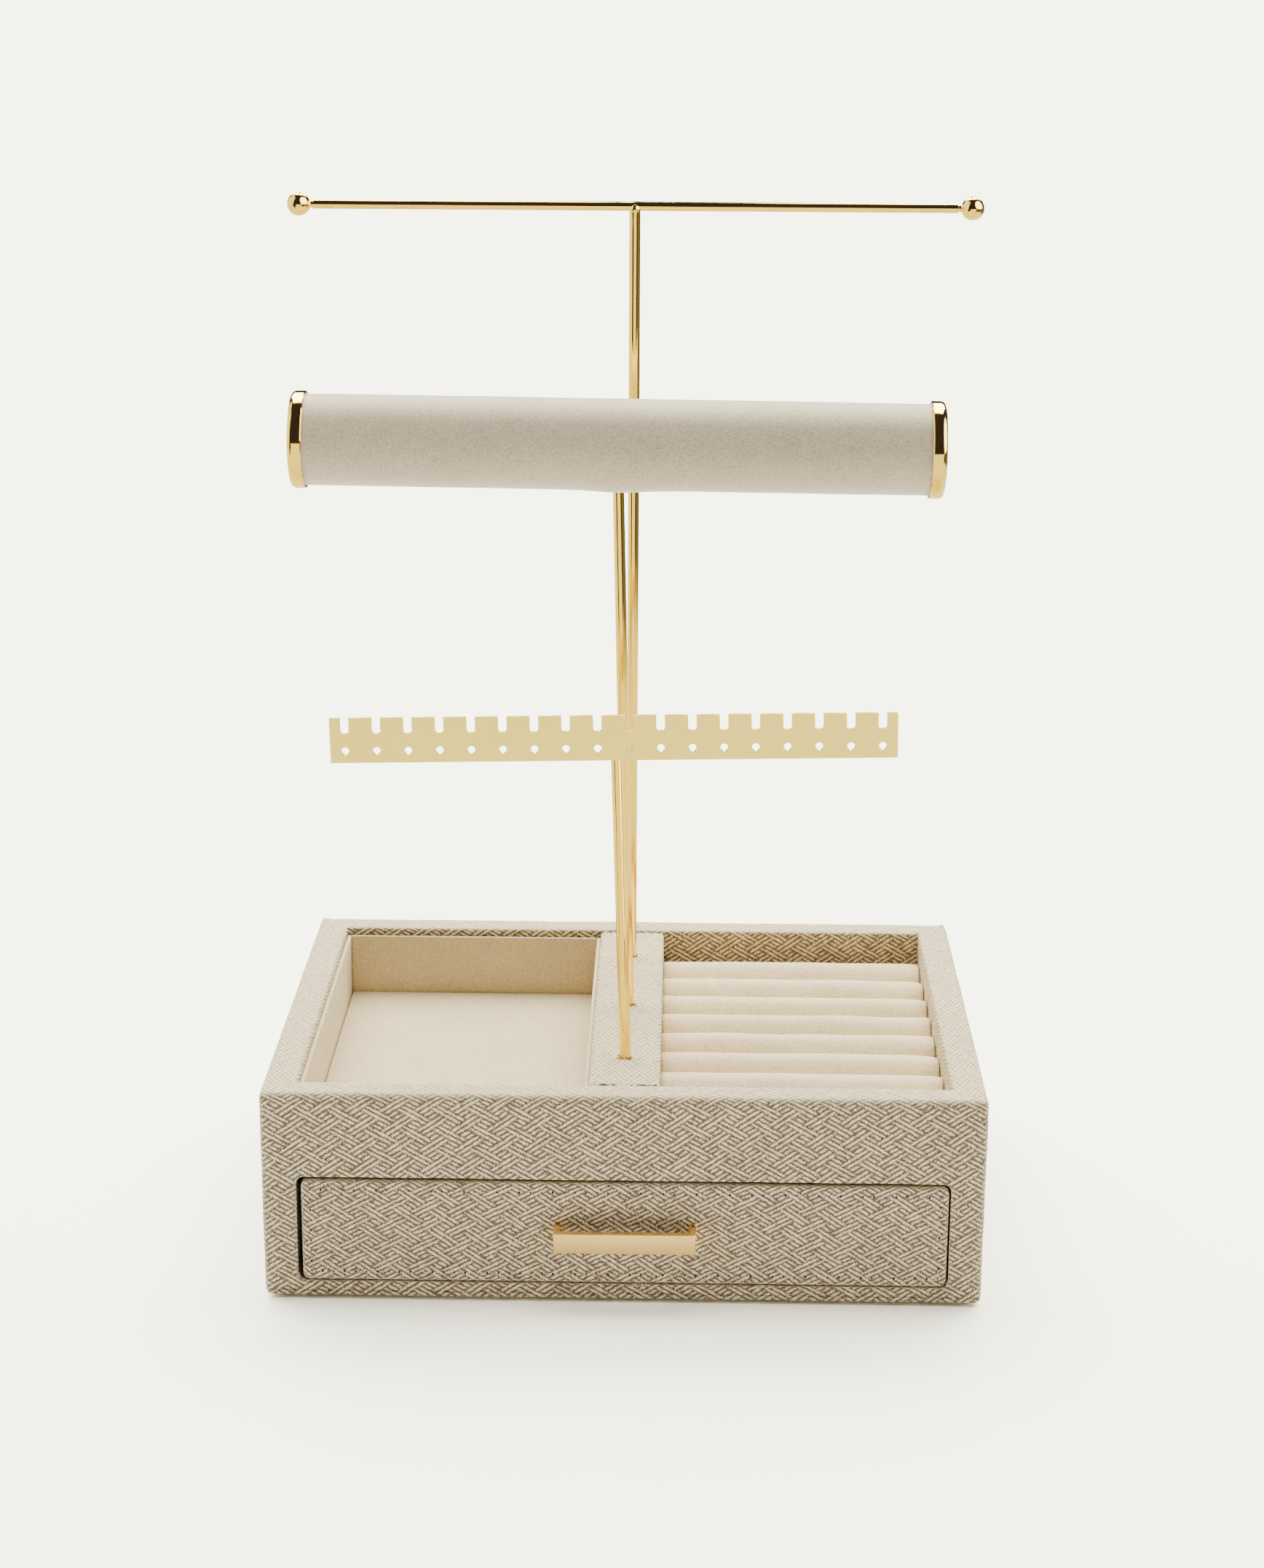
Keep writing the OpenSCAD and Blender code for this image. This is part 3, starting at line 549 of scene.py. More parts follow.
# %% Helpers for the meshes
def new_block(low, high):
    """A block between two corners."""
    low, high = Vector(low), Vector(high)
    bm = bmesh.new()
    place = Matrix.Translation((low + high) / 2) @ Matrix.Diagonal((*(high - low), 1.0))
    bmesh.ops.create_cube(bm, size=1.0, matrix=place)
    return bm


def span(edge):
    """The two ends of an edge and the way it runs."""
    a, b = (v.co for v in edge.verts)
    return a, b, (b - a).normalized()


def round_edges(bm, edges, radius, segments=3):
    bmesh.ops.bevel(bm, geom=list(edges), offset=radius, offset_type="OFFSET", segments=segments,
                    profile=0.5, affect="EDGES", clamp_overlap=True, material=-1)


def cut_open(bm, face):
    """Takes one face away."""
    bmesh.ops.delete(bm, geom=[face], context="FACES_ONLY")


def cut_across(bm, place, normal):
    """Cuts the whole mesh with a plane."""
    bmesh.ops.bisect_plane(bm, geom=bm.verts[:] + bm.edges[:] + bm.faces[:], dist=1e-7,
                           plane_co=place, plane_no=normal)


def slice_evenly(bm, step, *axes):
    """Cuts the whole mesh across some axes at even steps."""
    for axis in axes:
        places = [v.co[axis] for v in bm.verts]
        low, high = min(places), max(places)
        count = max(1, round((high - low) / step))
        normal = Vector([float(k == axis) for k in range(3)])
        for k in range(1, count):
            cut_across(bm, normal * (low + (high - low) * k / count), normal)


def put_in_work(bm):
    """An object for a modifier to work on."""
    mesh = bpy.data.meshes.new("in_work")
    bm.to_mesh(mesh)
    bm.free()
    return new_object("in_work", mesh)


def take_back(obj):
    """The mesh that an object's modifiers made. The object itself goes."""
    made = bmesh.new()
    made.from_mesh(obj.evaluated_get(bpy.context.evaluated_depsgraph_get()).to_mesh())
    mesh = obj.data
    bpy.data.objects.remove(obj)
    bpy.data.meshes.remove(mesh)
    return made


def with_modifier(bm, kind, **settings):
    """The mesh after a modifier."""
    obj = put_in_work(bm)
    modifier = obj.modifiers.new(kind, kind)
    for name, value in settings.items():
        setattr(modifier, name, value)
    return take_back(obj)


def round_by_weight(bm, radius):
    """Rounds each edge by its bevel weight, where 1 stands for the radius."""
    return with_modifier(bm, "BEVEL", width=radius, limit_method="WEIGHT", segments=4, profile=0.5,
                         offset_type="OFFSET")


def fading(distance, width):
    """1 where a distance is 0, fading to nothing over about two widths."""
    return math.exp(-(distance / width) ** 2)


def drift_at(point, size, seed):
    """A slow, smooth wander between about -1 and 1, the same each time."""
    return noise.noise(Vector(point) / size + Vector((seed * 7.3, seed * 3.1, seed * 5.7)))


def show(name, bm, body, finish, stands_for=(), sharp=60, flat=None):
    """Makes the mesh a piece of the stand. Edges over sharp degrees stay hard, and so do the
    faces that lie square to flat."""
    mesh = bpy.data.meshes.new(name)
    bm.normal_update()
    bm.to_mesh(mesh)
    bm.free()
    mesh.shade_smooth()
    mesh.set_sharp_from_angle(angle=math.radians(sharp))
    if flat is not None:
        mesh.polygons.foreach_set("use_smooth", [abs(p.normal.dot(flat)) < 0.999 for p in mesh.polygons])
    mesh.materials.append(finish)
    piece = new_object(name, mesh)
    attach(piece, body)
    if stands_for:
        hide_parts(*stands_for)
    print(f"{name}: {len(mesh.polygons)} faces, {in_mm(piece.dimensions)} mm")


print("helpers ready")

# %% [markdown]
# ## The case's cloth
# On the real case the cloth is cut in strips, pulled over the boards, and folded at the
# corners in mitres. It could be modelled flat and wrapped by simulation, but glued cloth
# follows its boards, so a skin with round edges is nearer to it.
# A block is inset and extruded down for the well, and its front is inset and extruded for
# the drawer. The edges have different radii, so each carries its own bevel weight and one
# Bevel modifier rounds them all at once, with clean corners.

# %% Shape the case
case_low, case_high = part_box("case_cover")
well_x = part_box("tray_left_lining")[0].x
deck_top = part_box("tray_deck")[1].z
FOOT_R, TOP_R, CORNER_R, LIP_R, RIM_R, BAY_R = (r * MM for r in (4.0, 2.2, 3.0, 1.4, 0.6, 3.0))
CLOTH_T, TURN_IN = 0.56 * MM, 20 * MM
BAY_FLOOR, BAY_TOP = 7 * MM, 46 * MM
HAIR = 1e-6

case_bm = new_block(case_low, case_high)
top = max(case_bm.faces, key=lambda f: f.calc_center_median().z)
bmesh.ops.inset_individual(case_bm, faces=[top], thickness=case_high.x + well_x, use_even_offset=True)
well = bmesh.ops.extrude_discrete_faces(case_bm, faces=[top])["faces"][0]
bmesh.ops.translate(case_bm, verts=well.verts, vec=(0, 0, deck_top - case_high.z))
cut_open(case_bm, well)
front = min(case_bm.faces, key=lambda f: f.calc_center_median().y)
bmesh.ops.inset_individual(case_bm, faces=[front], thickness=5 * MM, use_even_offset=True)
for v in front.verts:
    v.co.x = math.copysign(-well_x, v.co.x)
    v.co.z = BAY_TOP if v.co.z > (BAY_FLOOR + BAY_TOP) / 2 else BAY_FLOOR
opening = bmesh.ops.extrude_discrete_faces(case_bm, faces=[front])["faces"][0]
bmesh.ops.translate(case_bm, verts=opening.verts, vec=(0, TURN_IN, 0))
cut_open(case_bm, opening)


def edge_radius(edge):
    """How round an edge of the case is, by where it lies and how it runs."""
    a, b, along = span(edge)
    middle = (a + b) / 2
    walls = (abs(middle.x) > case_high.x - HAIR) + (abs(middle.y) > case_high.y - HAIR)
    off_walls = max(abs(a.x), abs(b.x)) < case_high.x - HAIR
    tunnel_y = middle.y > case_low.y + HAIR and max(a.y, b.y) < case_low.y + TURN_IN + HAIR
    if walls == 2 and abs(along.z) > 0.9:
        return CORNER_R
    if max(map(abs, along)) < 0.99:
        return 0.0
    if abs(middle.z - case_high.z) < HAIR:
        return TOP_R if walls else LIP_R
    if walls and abs(middle.z - case_low.z) < HAIR:
        return FOOT_R
    if off_walls and tunnel_y and abs(along.y) > 0.9 and max(a.z, b.z) < BAY_TOP + HAIR:
        return BAY_R
    if off_walls and abs(middle.y - case_low.y) < HAIR:
        return RIM_R
    return 0.0


weight = case_bm.edges.layers.float.new("bevel_weight_edge")
for e in case_bm.edges:
    e[weight] = edge_radius(e) / FOOT_R
print("edges by radius:", sorted(set(in_mm(FOOT_R * e[weight] for e in case_bm.edges))))

case_bm = round_by_weight(case_bm, FOOT_R)
print("case after rounding:", len(case_bm.faces), "faces")

# %% [markdown]
# ## Laying the weave on the case
# The weave has to run unbroken up the front, over the edge and down into the well, as one
# strip of cloth does. Unwrapping by hand would do it, but the path is simple: along the wall
# is one coordinate, and up, across and down again is the other. The distance is counted as
# on a grid of streets, so that the round edges need no special care.


# %% Lay the weave
def strip_coordinates(point, normal, centre, low, high):
    """Where a point of a wrapped box lies on its strip of cloth, in metres."""
    def in_from_faces(spot):
        return {"front": spot.y - low.y, "back": high.y - spot.y,
                "left": spot.x - low.x, "right": high.x - spot.x}

    if max(abs(normal.x), abs(normal.y)) <= 0.3:
        wall = min(in_from_faces(centre).items(), key=lambda pair: pair[1])[0]
    elif abs(normal.x) > abs(normal.y):
        wall = "left" if centre.x < 0 else "right"
    else:
        wall = "front" if centre.y < 0 else "back"
    outward = {"front": -normal.y, "back": normal.y, "left": -normal.x, "right": normal.x}[wall]
    inward = in_from_faces(point)[wall]
    depth = high.y - low.y
    along = {"front": point.x, "right": high.x + point.y - low.y,
             "left": low.x - (point.y - low.y), "back": high.x + depth + high.x - point.x}[wall]
    if normal.z < -0.8:
        return along, low.z - inward
    if outward < -0.3:
        return along, high.z + inward + (high.z - point.z)
    return along, point.z + inward


def lay_weave(bm, chart):
    """Gives each corner of each face its place on the cloth."""
    uv = bm.loops.layers.uv.get("weave") or bm.loops.layers.uv.new("weave")
    bm.normal_update()
    for face in bm.faces:
        centre = face.calc_center_median()
        for loop in face.loops:
            loop[uv].uv = chart(loop.vert.co, face.normal, centre)


for at_x, at_y in ((-1, -1), (1, -1), (-1, 1), (1, 1)):
    corner = Vector((at_x * case_high.x, at_y * case_high.y, case_high.z))
    near = [f for f in case_bm.faces if f.calc_center_median().z > case_high.z - 0.5 * MM]
    near = [f for f in near if all(v.co.z > case_high.z - 0.01 * MM for v in f.verts)]
    bmesh.ops.bisect_plane(case_bm, geom=list({g for f in near for g in [f, *f.edges, *f.verts]}), dist=1e-7,
                           plane_co=corner, plane_no=Vector((at_y, -at_x, 0)).normalized())
slice_evenly(case_bm, 4 * MM, 0, 1, 2)


def case_chart(point, normal, centre):
    """The strip round the case, which is turned in at the drawer's opening."""
    behind_front = case_low.y + 0.9 * MM < centre.y < case_low.y + TURN_IN
    in_opening = case_low.z + 1 * MM < centre.z < BAY_TOP + 0.1 * MM
    if abs(normal.z) > 0.5 and behind_front and in_opening:
        return point.x, point.z - math.copysign(point.y - case_low.y, normal.z)
    return strip_coordinates(point, normal, centre, case_low, case_high)


lay_weave(case_bm, case_chart)
print("case after slicing:", len(case_bm.faces), "faces")

# %% [markdown]
# ## Softening the case
# Board edges under cloth are never dead straight. Each point moves by a fraction of a
# millimetre along its normal, by a slow wander that is the same each time. At the back
# corners the folded cloth stands up in a small pinch, and at the front ones the mitre is a
# shallow crease. Then the cloth gets its thickness, and its sill is kept under the drawer.


# %% Soften the case
def corner_fold(point):
    """How far the cloth stands up or sinks at the mitred folds of the wall tops."""
    if point.z < case_high.z - 3 * MM:
        return 0.0
    from_x = case_high.x - abs(point.x)
    from_y = case_high.y - abs(point.y)
    if max(from_x, from_y) > 13 * MM:
        return 0.0
    off_line = abs(from_x - from_y) / math.sqrt(2)
    back = point.y > 0
    ridge = fading(off_line, 0.9 * MM)
    pinch = fading(from_x + from_y, 5.5 * MM) * fading(off_line, 1.8 * MM)
    beside = fading(off_line - 1.6 * MM, 0.8 * MM)
    return (0.26 * ridge - 0.16 * beside + 0.55 * pinch) * MM if back else (-0.10 * ridge) * MM


case_bm.normal_update()
for v in case_bm.verts:
    outside = max(abs(v.co.x) - case_high.x, abs(v.co.y) - case_high.y) > -4.5 * MM
    if v.co.z < case_low.z + 0.5 * MM or (not outside and v.co.z < deck_top + 1 * MM):
        continue
    wander = 0.16 * drift_at(v.co, 0.021, 1) + 0.10 * drift_at(v.co, 0.008, 2)
    v.co += v.normal * (wander * MM - 0.10 * MM) + Vector((0, 0, corner_fold(v.co)))

case_bm = with_modifier(case_bm, "SOLIDIFY", thickness=CLOTH_T, offset=-1.0, use_even_offset=False)
SILL_Y, SILL_X, SILL_GAP = -60 * MM, 112.6 * MM, 0.15 * MM
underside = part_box("drawer_floor")[0].z
for v in case_bm.verts:
    if v.co.y < SILL_Y and abs(v.co.x) < SILL_X and abs(v.co.z - underside) < 1.5 * MM:
        v.co.z = min(v.co.z, underside - SILL_GAP)
show("case_cloth", case_bm, "case", case_weave, ["case_cover"])

# %% The boards and the lining of the drawer bay
SOLIDS_OF_FINISH = (
    (board, ("case_bottom", "front_frame", "left_wall", "right_wall", "back_wall", "tray_deck",
             "divider", "ring_board", "bracelet_saddle")),
    (covered_board, ("drawer_front", "drawer_left_side", "drawer_right_side", "drawer_back",
                     "drawer_floor", "bracelet_tube")),
    (suede, ("bay_lining",)),
    (felt, ("base_felt",)),
    (polished_gold, ("post_inserts",)),
    (plated_steel, ("handle_washers", "handle_nuts")))
for finish, solids in SOLIDS_OF_FINISH:
    for solid in solids:
        frame["nodes"][solid].data.materials.clear()
        frame["nodes"][solid].data.materials.append(finish)
print("solids that stay:", sum(not o.hide_render for o in frame["nodes"].values()))

# %% [markdown]
# ## The divider and its cloth
# The bar between the trays is wrapped in its own strip, whose weave runs from front to back.
# Where a post goes through, the cut cloth puckers round it in short folds, so the top is cut
# finely and drawn down in a star round each post.

# %% Wrap the divider
swivels = {j["child"]: j for j in frame["record"]["behaviour"]["joints"] if j["type"] == "hinge"}
feet = {name: Vector(j["pos_m"]) for name, j in swivels.items()}
divider_low, divider_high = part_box("divider_cover")
divider_bm = new_block((divider_low.x, divider_low.y, deck_top), divider_high)
round_edges(divider_bm, [e for e in divider_bm.edges
                         if min(v.co.z for v in e.verts) > divider_high.z - HAIR
                         and abs(span(e)[2].y) > 0.9], 1.6 * MM, 4)
slice_evenly(divider_bm, 1.1 * MM, 0, 1)
slice_evenly(divider_bm, 4 * MM, 2)
lay_weave(divider_bm, lambda point, normal, centre: (
    point.y + 0.0021, point.x + 0.0013 + math.copysign(divider_high.z - point.z, centre.x)))
for v in divider_bm.verts:
    if v.co.z < divider_high.z - 4 * MM:
        continue
    lift = 0.14 * drift_at(v.co, 0.017, 3) * MM - 0.12 * MM
    lift -= 0.9 * MM * fading(divider_high.y - abs(v.co.y), 0.9 * MM)
    for foot in feet.values():
        away = v.co.xy - foot.xy
        far = away.length
        turn = math.atan2(away.y, away.x)
        star = 0.30 * math.cos(5 * turn + foot.y * 90) * fading(far - 3.2 * MM, 1.7 * MM)
        lift += (star - 0.50 * fading(far, 2.6 * MM)) * MM
    v.co.z += lift
show("divider_cloth", divider_bm, "case", divider_weave, ["divider_cover"])

# %% [markdown]
# ## The suede cards of the tray and the drawer
# A tray is lined with four thin cards covered in suede, and a fifth lies on its floor. The
# nap rounds their edges and the covering pulls them very slightly out of true. The floor card
# is padded a little, so it is crowned.


# %% Line the tray and the drawer
def suede_card(node, body, seed):
    """A card with soft edges and a face that isn't quite flat."""
    low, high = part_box(node)
    bm = new_block(low, high)
    round_edges(bm, bm.edges, 0.45 * MM, 3)
    for axis in range(3):
        if high[axis] - low[axis] > 5 * MM:
            slice_evenly(bm, 5 * MM, axis)
    middle, thin = (low + high) / 2, min(range(3), key=lambda k: high[k] - low[k])
    toward = -1.0 if middle[thin] > 0 else 1.0
    for v in bm.verts:
        if (v.co[thin] - middle[thin]) * toward > 0:
            v.co[thin] -= toward * abs(drift_at(v.co, 0.03, seed)) * 0.22 * MM
    show(node.replace("_lining", "_card"), bm, body, suede, [node])


def floor_card(node, body, seed):
    """The padded card on a tray's floor: highest in its middle, soft at its edges."""
    low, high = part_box(node)
    bm = new_block(low, high)
    round_edges(bm, [e for e in bm.edges if max(v.co.z for v in e.verts) > high.z - HAIR], 0.7 * MM, 3)
    slice_evenly(bm, 5 * MM, 0, 1)
    for v in bm.verts:
        if v.co.z > high.z - 0.3 * MM:
            edge = min(v.co.x - low.x, high.x - v.co.x, v.co.y - low.y, high.y - v.co.y)
            v.co.z -= (0.35 * math.exp(-edge / (6 * MM)) + 0.06 + 0.06 * drift_at(v.co, 0.03, seed)) * MM
    show(node.replace("_pad", "_card"), bm, body, suede, [node])


for k, side in enumerate(("left", "right", "front", "back")):
    suede_card(f"tray_{side}_lining", "case", 10 + k)
    suede_card(f"drawer_{side}_lining", "drawer", 20 + k)
floor_card("tray_floor_pad", "case", 30)
floor_card("drawer_floor_pad", "drawer", 31)

# %% [markdown]
# ## The velvet rolls
# The ring pad is eight foam rolls in velvet, pressed side by side, and rings stand in the
# creases between them. Foam under cloth swells until the cloth holds it. So each roll starts
# a little small, as a block with a round top, and is blown up by a cloth simulation. How
# far a point may move is capped, and a roll can't leave the space between its neighbours,
# which flattens it where two rolls touch. The creases wander, as sewn ones do.


# %% Swell the rolls
def swell(bm, voxel, pressure, frames, cap):
    """Blows a closed mesh up as cloth does, and returns it with each point's move capped."""
    obj = put_in_work(with_modifier(bm, "REMESH", mode="VOXEL", voxel_size=voxel))
    start = [v.co.copy() for v in obj.data.vertices]
    cloth = obj.modifiers.new("cloth", "CLOTH")
    cloth.settings.use_pressure = True
    cloth.settings.uniform_pressure_force = pressure
    cloth.settings.effector_weights.gravity = 0
    cloth.settings.quality = 5
    cloth.point_cache.frame_start, cloth.point_cache.frame_end = 1, frames
    for frame_number in range(1, frames + 1):
        bpy.context.scene.frame_set(frame_number)
    made = take_back(obj)
    bpy.context.scene.frame_set(1)
    for v, was in zip(made.verts, start):
        move = v.co - was
        v.co = was + move * min(1.0, cap / max(move.length, 1e-9))
    return made


roll_boxes = [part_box(f"ring_roll_{k}") for k in range(1, 9)]
first_low, first_high = roll_boxes[0]
small, crown = 0.7 * MM, 2.4 * MM
roll_bm = new_block((first_low.x - 1.2 * MM, first_low.y + small, first_low.z),
                    (first_high.x + 0.3 * MM, first_high.y - small, first_high.z + crown - small))
roll_top, half_deep = first_high.z + crown, (first_high.y - first_low.y) / 2
round_edges(roll_bm, [e for e in roll_bm.edges if min(v.co.z for v in e.verts) > roll_top - 1.1 * MM
                      and abs(e.verts[0].co.y - e.verts[1].co.y) < HAIR], half_deep - small - 0.05 * MM, 8)
round_edges(roll_bm, [e for e in roll_bm.edges if abs(e.verts[0].co.x - e.verts[1].co.x) < HAIR
                      and e.calc_length() < 12 * MM and e.calc_face_angle(0) > 1.0], 1.2 * MM, 3)
roll_bm = swell(roll_bm, voxel=1.5 * MM, pressure=4.0, frames=14, cap=0.9 * MM)
print("one roll:", len(roll_bm.faces), "faces")


def crease(x, k):
    """How far crease k wanders to the front or back at x."""
    slow = 0.55 * MM * drift_at((x, 0.013 * k, 0), 0.030, 41)
    return slow + 0.25 * MM * drift_at((x, 0.017 * k, 0), 0.011, 42)


for k, (low, high) in enumerate(roll_boxes):
    bm = roll_bm.copy()
    for v in bm.verts:
        v.co.y = min(max(v.co.y, first_low.y + 0.05 * MM), first_high.y - 0.05 * MM)
        v.co.x = min(max(v.co.x, first_low.x - 0.2 * MM), first_high.x + 0.2 * MM)
        v.co.z = min(max(v.co.z, first_low.z), first_high.z + crown)
        share = (v.co.y - first_low.y) / (first_high.y - first_low.y)
        v.co.y += low.y - first_low.y + (1 - share) * crease(v.co.x, k) + share * crease(v.co.x, k + 1)
        up = max(0.0, (v.co.z - low.z) / (high.z - low.z))
        v.co.z += up * (0.35 * drift_at((v.co.x, 0.02 * k, 0), 0.022, 43) - 0.2) * MM
        for end, strength in ((high.x, 1.0), (low.x, 0.2)):
            to_end = math.exp(-abs(v.co.x - end) / (3.5 * MM))
            fold = math.sin((v.co.y - low.y) / (1.9 * MM) + 1.7 * k + end * 40)
            v.co.z -= up * to_end * strength * (0.55 + 0.40 * fold) * MM
    show(f"velvet_roll_{k + 1}", bm, "case", roll_velvet, [f"ring_roll_{k + 1}"],
         sharp=80)
roll_bm.free()

# %% [markdown]
# ## The drawer's front
# The drawer front is a board in the same cloth, sewn round near its edge. The stitches show
# as a row of needle holes with the thread sunk between them. They could be painted in the
# material, but pieces of a few faces each hold up close: the threads are real, and each hole is a small
# near-black blob, a painted shade for the hole's depth.

# %% Wrap the drawer front
front_low, front_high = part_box("drawer_front_cover")
drawer_bm = new_block(front_low, front_high)
CORNER_MM, FACE_EDGE_MM = 2.7, 1.1
weight = drawer_bm.edges.layers.float.new("bevel_weight_edge")
for e in drawer_bm.edges:
    a, b, along = span(e)
    if abs(along.y) > 0.9:
        e[weight] = 1.0
    elif max(a.y, b.y) < front_low.y + HAIR:
        e[weight] = FACE_EDGE_MM / CORNER_MM
cut_open(drawer_bm, max(drawer_bm.faces, key=lambda f: f.calc_center_median().y))
drawer_bm = round_by_weight(drawer_bm, CORNER_MM * MM)
slice_evenly(drawer_bm, 2.5 * MM, 0, 2)


def drawer_chart(point, normal, centre):
    """The front lies flat, and the cloth is turned back over its four edges."""
    back = point.y - front_low.y
    if abs(normal.z) > 0.5:
        return point.x, point.z + math.copysign(back, normal.z)
    if abs(normal.x) > 0.3:
        return point.x + math.copysign(back, normal.x), point.z
    return point.x, point.z


lay_weave(drawer_bm, drawer_chart)
SEAM_LOW, SEAM_HIGH = Vector((-108.2, 0, 10.5)) * MM, Vector((109.5, 0, 41.3)) * MM
for v in drawer_bm.verts:
    off_x = min(abs(v.co.x - SEAM_LOW.x), abs(v.co.x - SEAM_HIGH.x))
    off_z = min(abs(v.co.z - SEAM_LOW.z), abs(v.co.z - SEAM_HIGH.z))
    pulled = fading(min(off_x, off_z), 1.2 * MM)
    if v.co.y < front_low.y + 0.5 * MM:
        v.co.y += (0.12 + 0.10 * drift_at(v.co, 0.02, 51) + 0.16 * pulled) * MM
    v.co.x += 0.5 * MM * fading(v.co.x - front_low.x, 3 * MM)
    v.co.z -= 0.2 * MM * fading(front_high.z - v.co.z, 3 * MM)
drawer_bm = with_modifier(drawer_bm, "SOLIDIFY", thickness=CLOTH_T, offset=-1.0, use_even_offset=False)
show("drawer_cloth", drawer_bm, "drawer", drawer_weave, ["drawer_front_cover"])

# %% Sew the drawer front
STITCH, THREAD_R, HOLE_MM = 3.8 * MM, 0.17 * MM, 0.38


def seam_points():
    """The needle holes, in order round the drawer front, each with the way to the next."""
    corners = [Vector((SEAM_LOW.x, 0, SEAM_LOW.z)), Vector((SEAM_HIGH.x, 0, SEAM_LOW.z)),
               Vector((SEAM_HIGH.x, 0, SEAM_HIGH.z)), Vector((SEAM_LOW.x, 0, SEAM_HIGH.z))]
    for k, start in enumerate(corners):
        side = corners[(k + 1) % 4] - start
        count = round(side.length / STITCH)
        for n in range(count):
            yield start + side * (n / count), side / count


holes_bm, thread_bm = bmesh.new(), bmesh.new()
for n, (hole, step) in enumerate(seam_points()):
    cloth_y = front_low.y + (0.28 + 0.10 * drift_at((hole.x, front_low.y, hole.z), 0.02, 51)) * MM
    at = Vector((hole.x + 0.12 * MM * drift_at(hole, 0.004, 52), cloth_y - 0.03 * MM,
                 hole.z + 0.12 * MM * drift_at(hole, 0.004, 53)))
    size = HOLE_MM + 0.08 * math.sin(n * 2.4)
    bmesh.ops.create_uvsphere(holes_bm, u_segments=8, v_segments=4, radius=size * MM,
                              matrix=Matrix.Translation(at) @ Matrix.Diagonal((1.0, 0.55, 1.15, 1.0)))
    sunk_middle = Matrix.Translation(at + step / 2 + Vector((0, 0.10 * MM, 0)))
    bmesh.ops.create_cone(thread_bm, cap_ends=True, segments=6, radius1=THREAD_R, radius2=THREAD_R,
                          depth=step.length - 0.5 * MM,
                          matrix=sunk_middle @ step.to_track_quat("Z", "Y").to_matrix().to_4x4())
# Each hole is a near-black blob: painted shade for the depth of a needle hole.
painted_hole_shade = napped("painted_needle_hole_shade", (0.035, 0.026, 0.018), 0.2, 900.0, 0.02 * MM, 0.0)
thread_finish = napped("sewing_thread", (0.62, 0.55, 0.44), 0.12, 2500.0, 0.05 * MM, 0.1,
                       stretch=(1.0, 1.0, 3.0))
print("stitches:", n + 1)
show("needle_holes", holes_bm, "drawer", painted_hole_shade, sharp=80)
show("sunk_thread", thread_bm, "drawer", thread_finish, sharp=50)

# %% [markdown]
# ## The handle
# The handle is a strap of gilt metal bent to a bridge and screwed on from behind. A bar is
# cut near both ends, and the two end faces at its back are extruded into the legs. The edges
# are only broken, so that they catch a thin line of light.

# %% Bend the handle
handle_low, handle_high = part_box("handle")
handle_low += Vector((0.5, 0, -0.25)) * MM
handle_high += Vector((0.5, 0, 0.25)) * MM
LEG_T, BAR_T, BROKEN_R = 2.4 * MM, 2.3 * MM, 0.32 * MM
handle_bm = new_block(handle_low, (handle_high.x, handle_low.y + BAR_T, handle_high.z))
for x in (handle_low.x + LEG_T, handle_high.x - LEG_T):
    cut_across(handle_bm, (x, 0, 0), (1, 0, 0))
ends = [f for f in handle_bm.faces if f.calc_center_median().y > handle_low.y + BAR_T - HAIR
        and abs(f.calc_center_median().x - (handle_low.x + handle_high.x) / 2) > 15 * MM]
leg_length = front_low.y + 0.15 * MM - handle_low.y - BAR_T
for leg in bmesh.ops.extrude_discrete_faces(handle_bm, faces=ends)["faces"]:
    bmesh.ops.translate(handle_bm, verts=leg.verts, vec=(0, leg_length, 0))
bmesh.ops.dissolve_limit(handle_bm, angle_limit=math.radians(2), verts=handle_bm.verts, edges=handle_bm.edges)
round_edges(handle_bm, handle_bm.edges, BROKEN_R)
show("handle_bridge", handle_bm, "drawer", handle_gold, ["handle"], sharp=25)

# %% [markdown]
# ## Turned pieces
# Posts, rods, balls and caps are all round, and a real one is drawn or turned. So each is a
# profile, drawn as radius and height, and spun about its axis. Each stand has its own axis,
# which the model's joints give: two of the posts lean a little to the left.


# %% Spin the gilt pieces
def arc(middle, radius, start, end, steps):
    """Points on an arc, as (radius, height) pairs: 0 degrees points outwards and 90 up."""
    turns = (math.radians(start + (end - start) * k / steps) for k in range(steps + 1))
    return [(middle[0] + radius * math.cos(t), middle[1] + radius * math.sin(t)) for t in turns]


def turned_piece(profile, steps, place):
    """A profile of (radius, height) pairs in mm, spun about the +Z axis of a place."""
    bm = bmesh.new()
    verts = [bm.verts.new((r * MM, 0, h * MM)) for r, h in profile]
    edges = [bm.edges.new(pair) for pair in zip(verts, verts[1:])]
    bmesh.ops.spin(bm, geom=verts + edges, cent=(0, 0, 0), axis=(0, 0, 1), angle=2 * math.pi,
                   steps=steps, use_merge=True, use_duplicate=False)
    bmesh.ops.remove_doubles(bm, verts=bm.verts, dist=1e-7)
    bmesh.ops.recalc_face_normals(bm, faces=bm.faces)
    bmesh.ops.transform(bm, matrix=place, verts=bm.verts)
    return bm


def stand_place(body):
    """Where a stand's post rises: its foot is the origin and the post is +Z."""
    lean = Vector(swivels[body]["axis"])
    return Matrix.Translation(feet[body]) @ Matrix.Rotation(math.atan2(lean.x, lean.z), 4, "Y")


def along_x(place, x=0.0, facing=1):
    """A place whose +Z points along the first place's X, x mm out."""
    return place @ Matrix.Translation((facing * x * MM, 0, 0)) @ Matrix.Rotation(facing * math.pi / 2, 4, "Y")


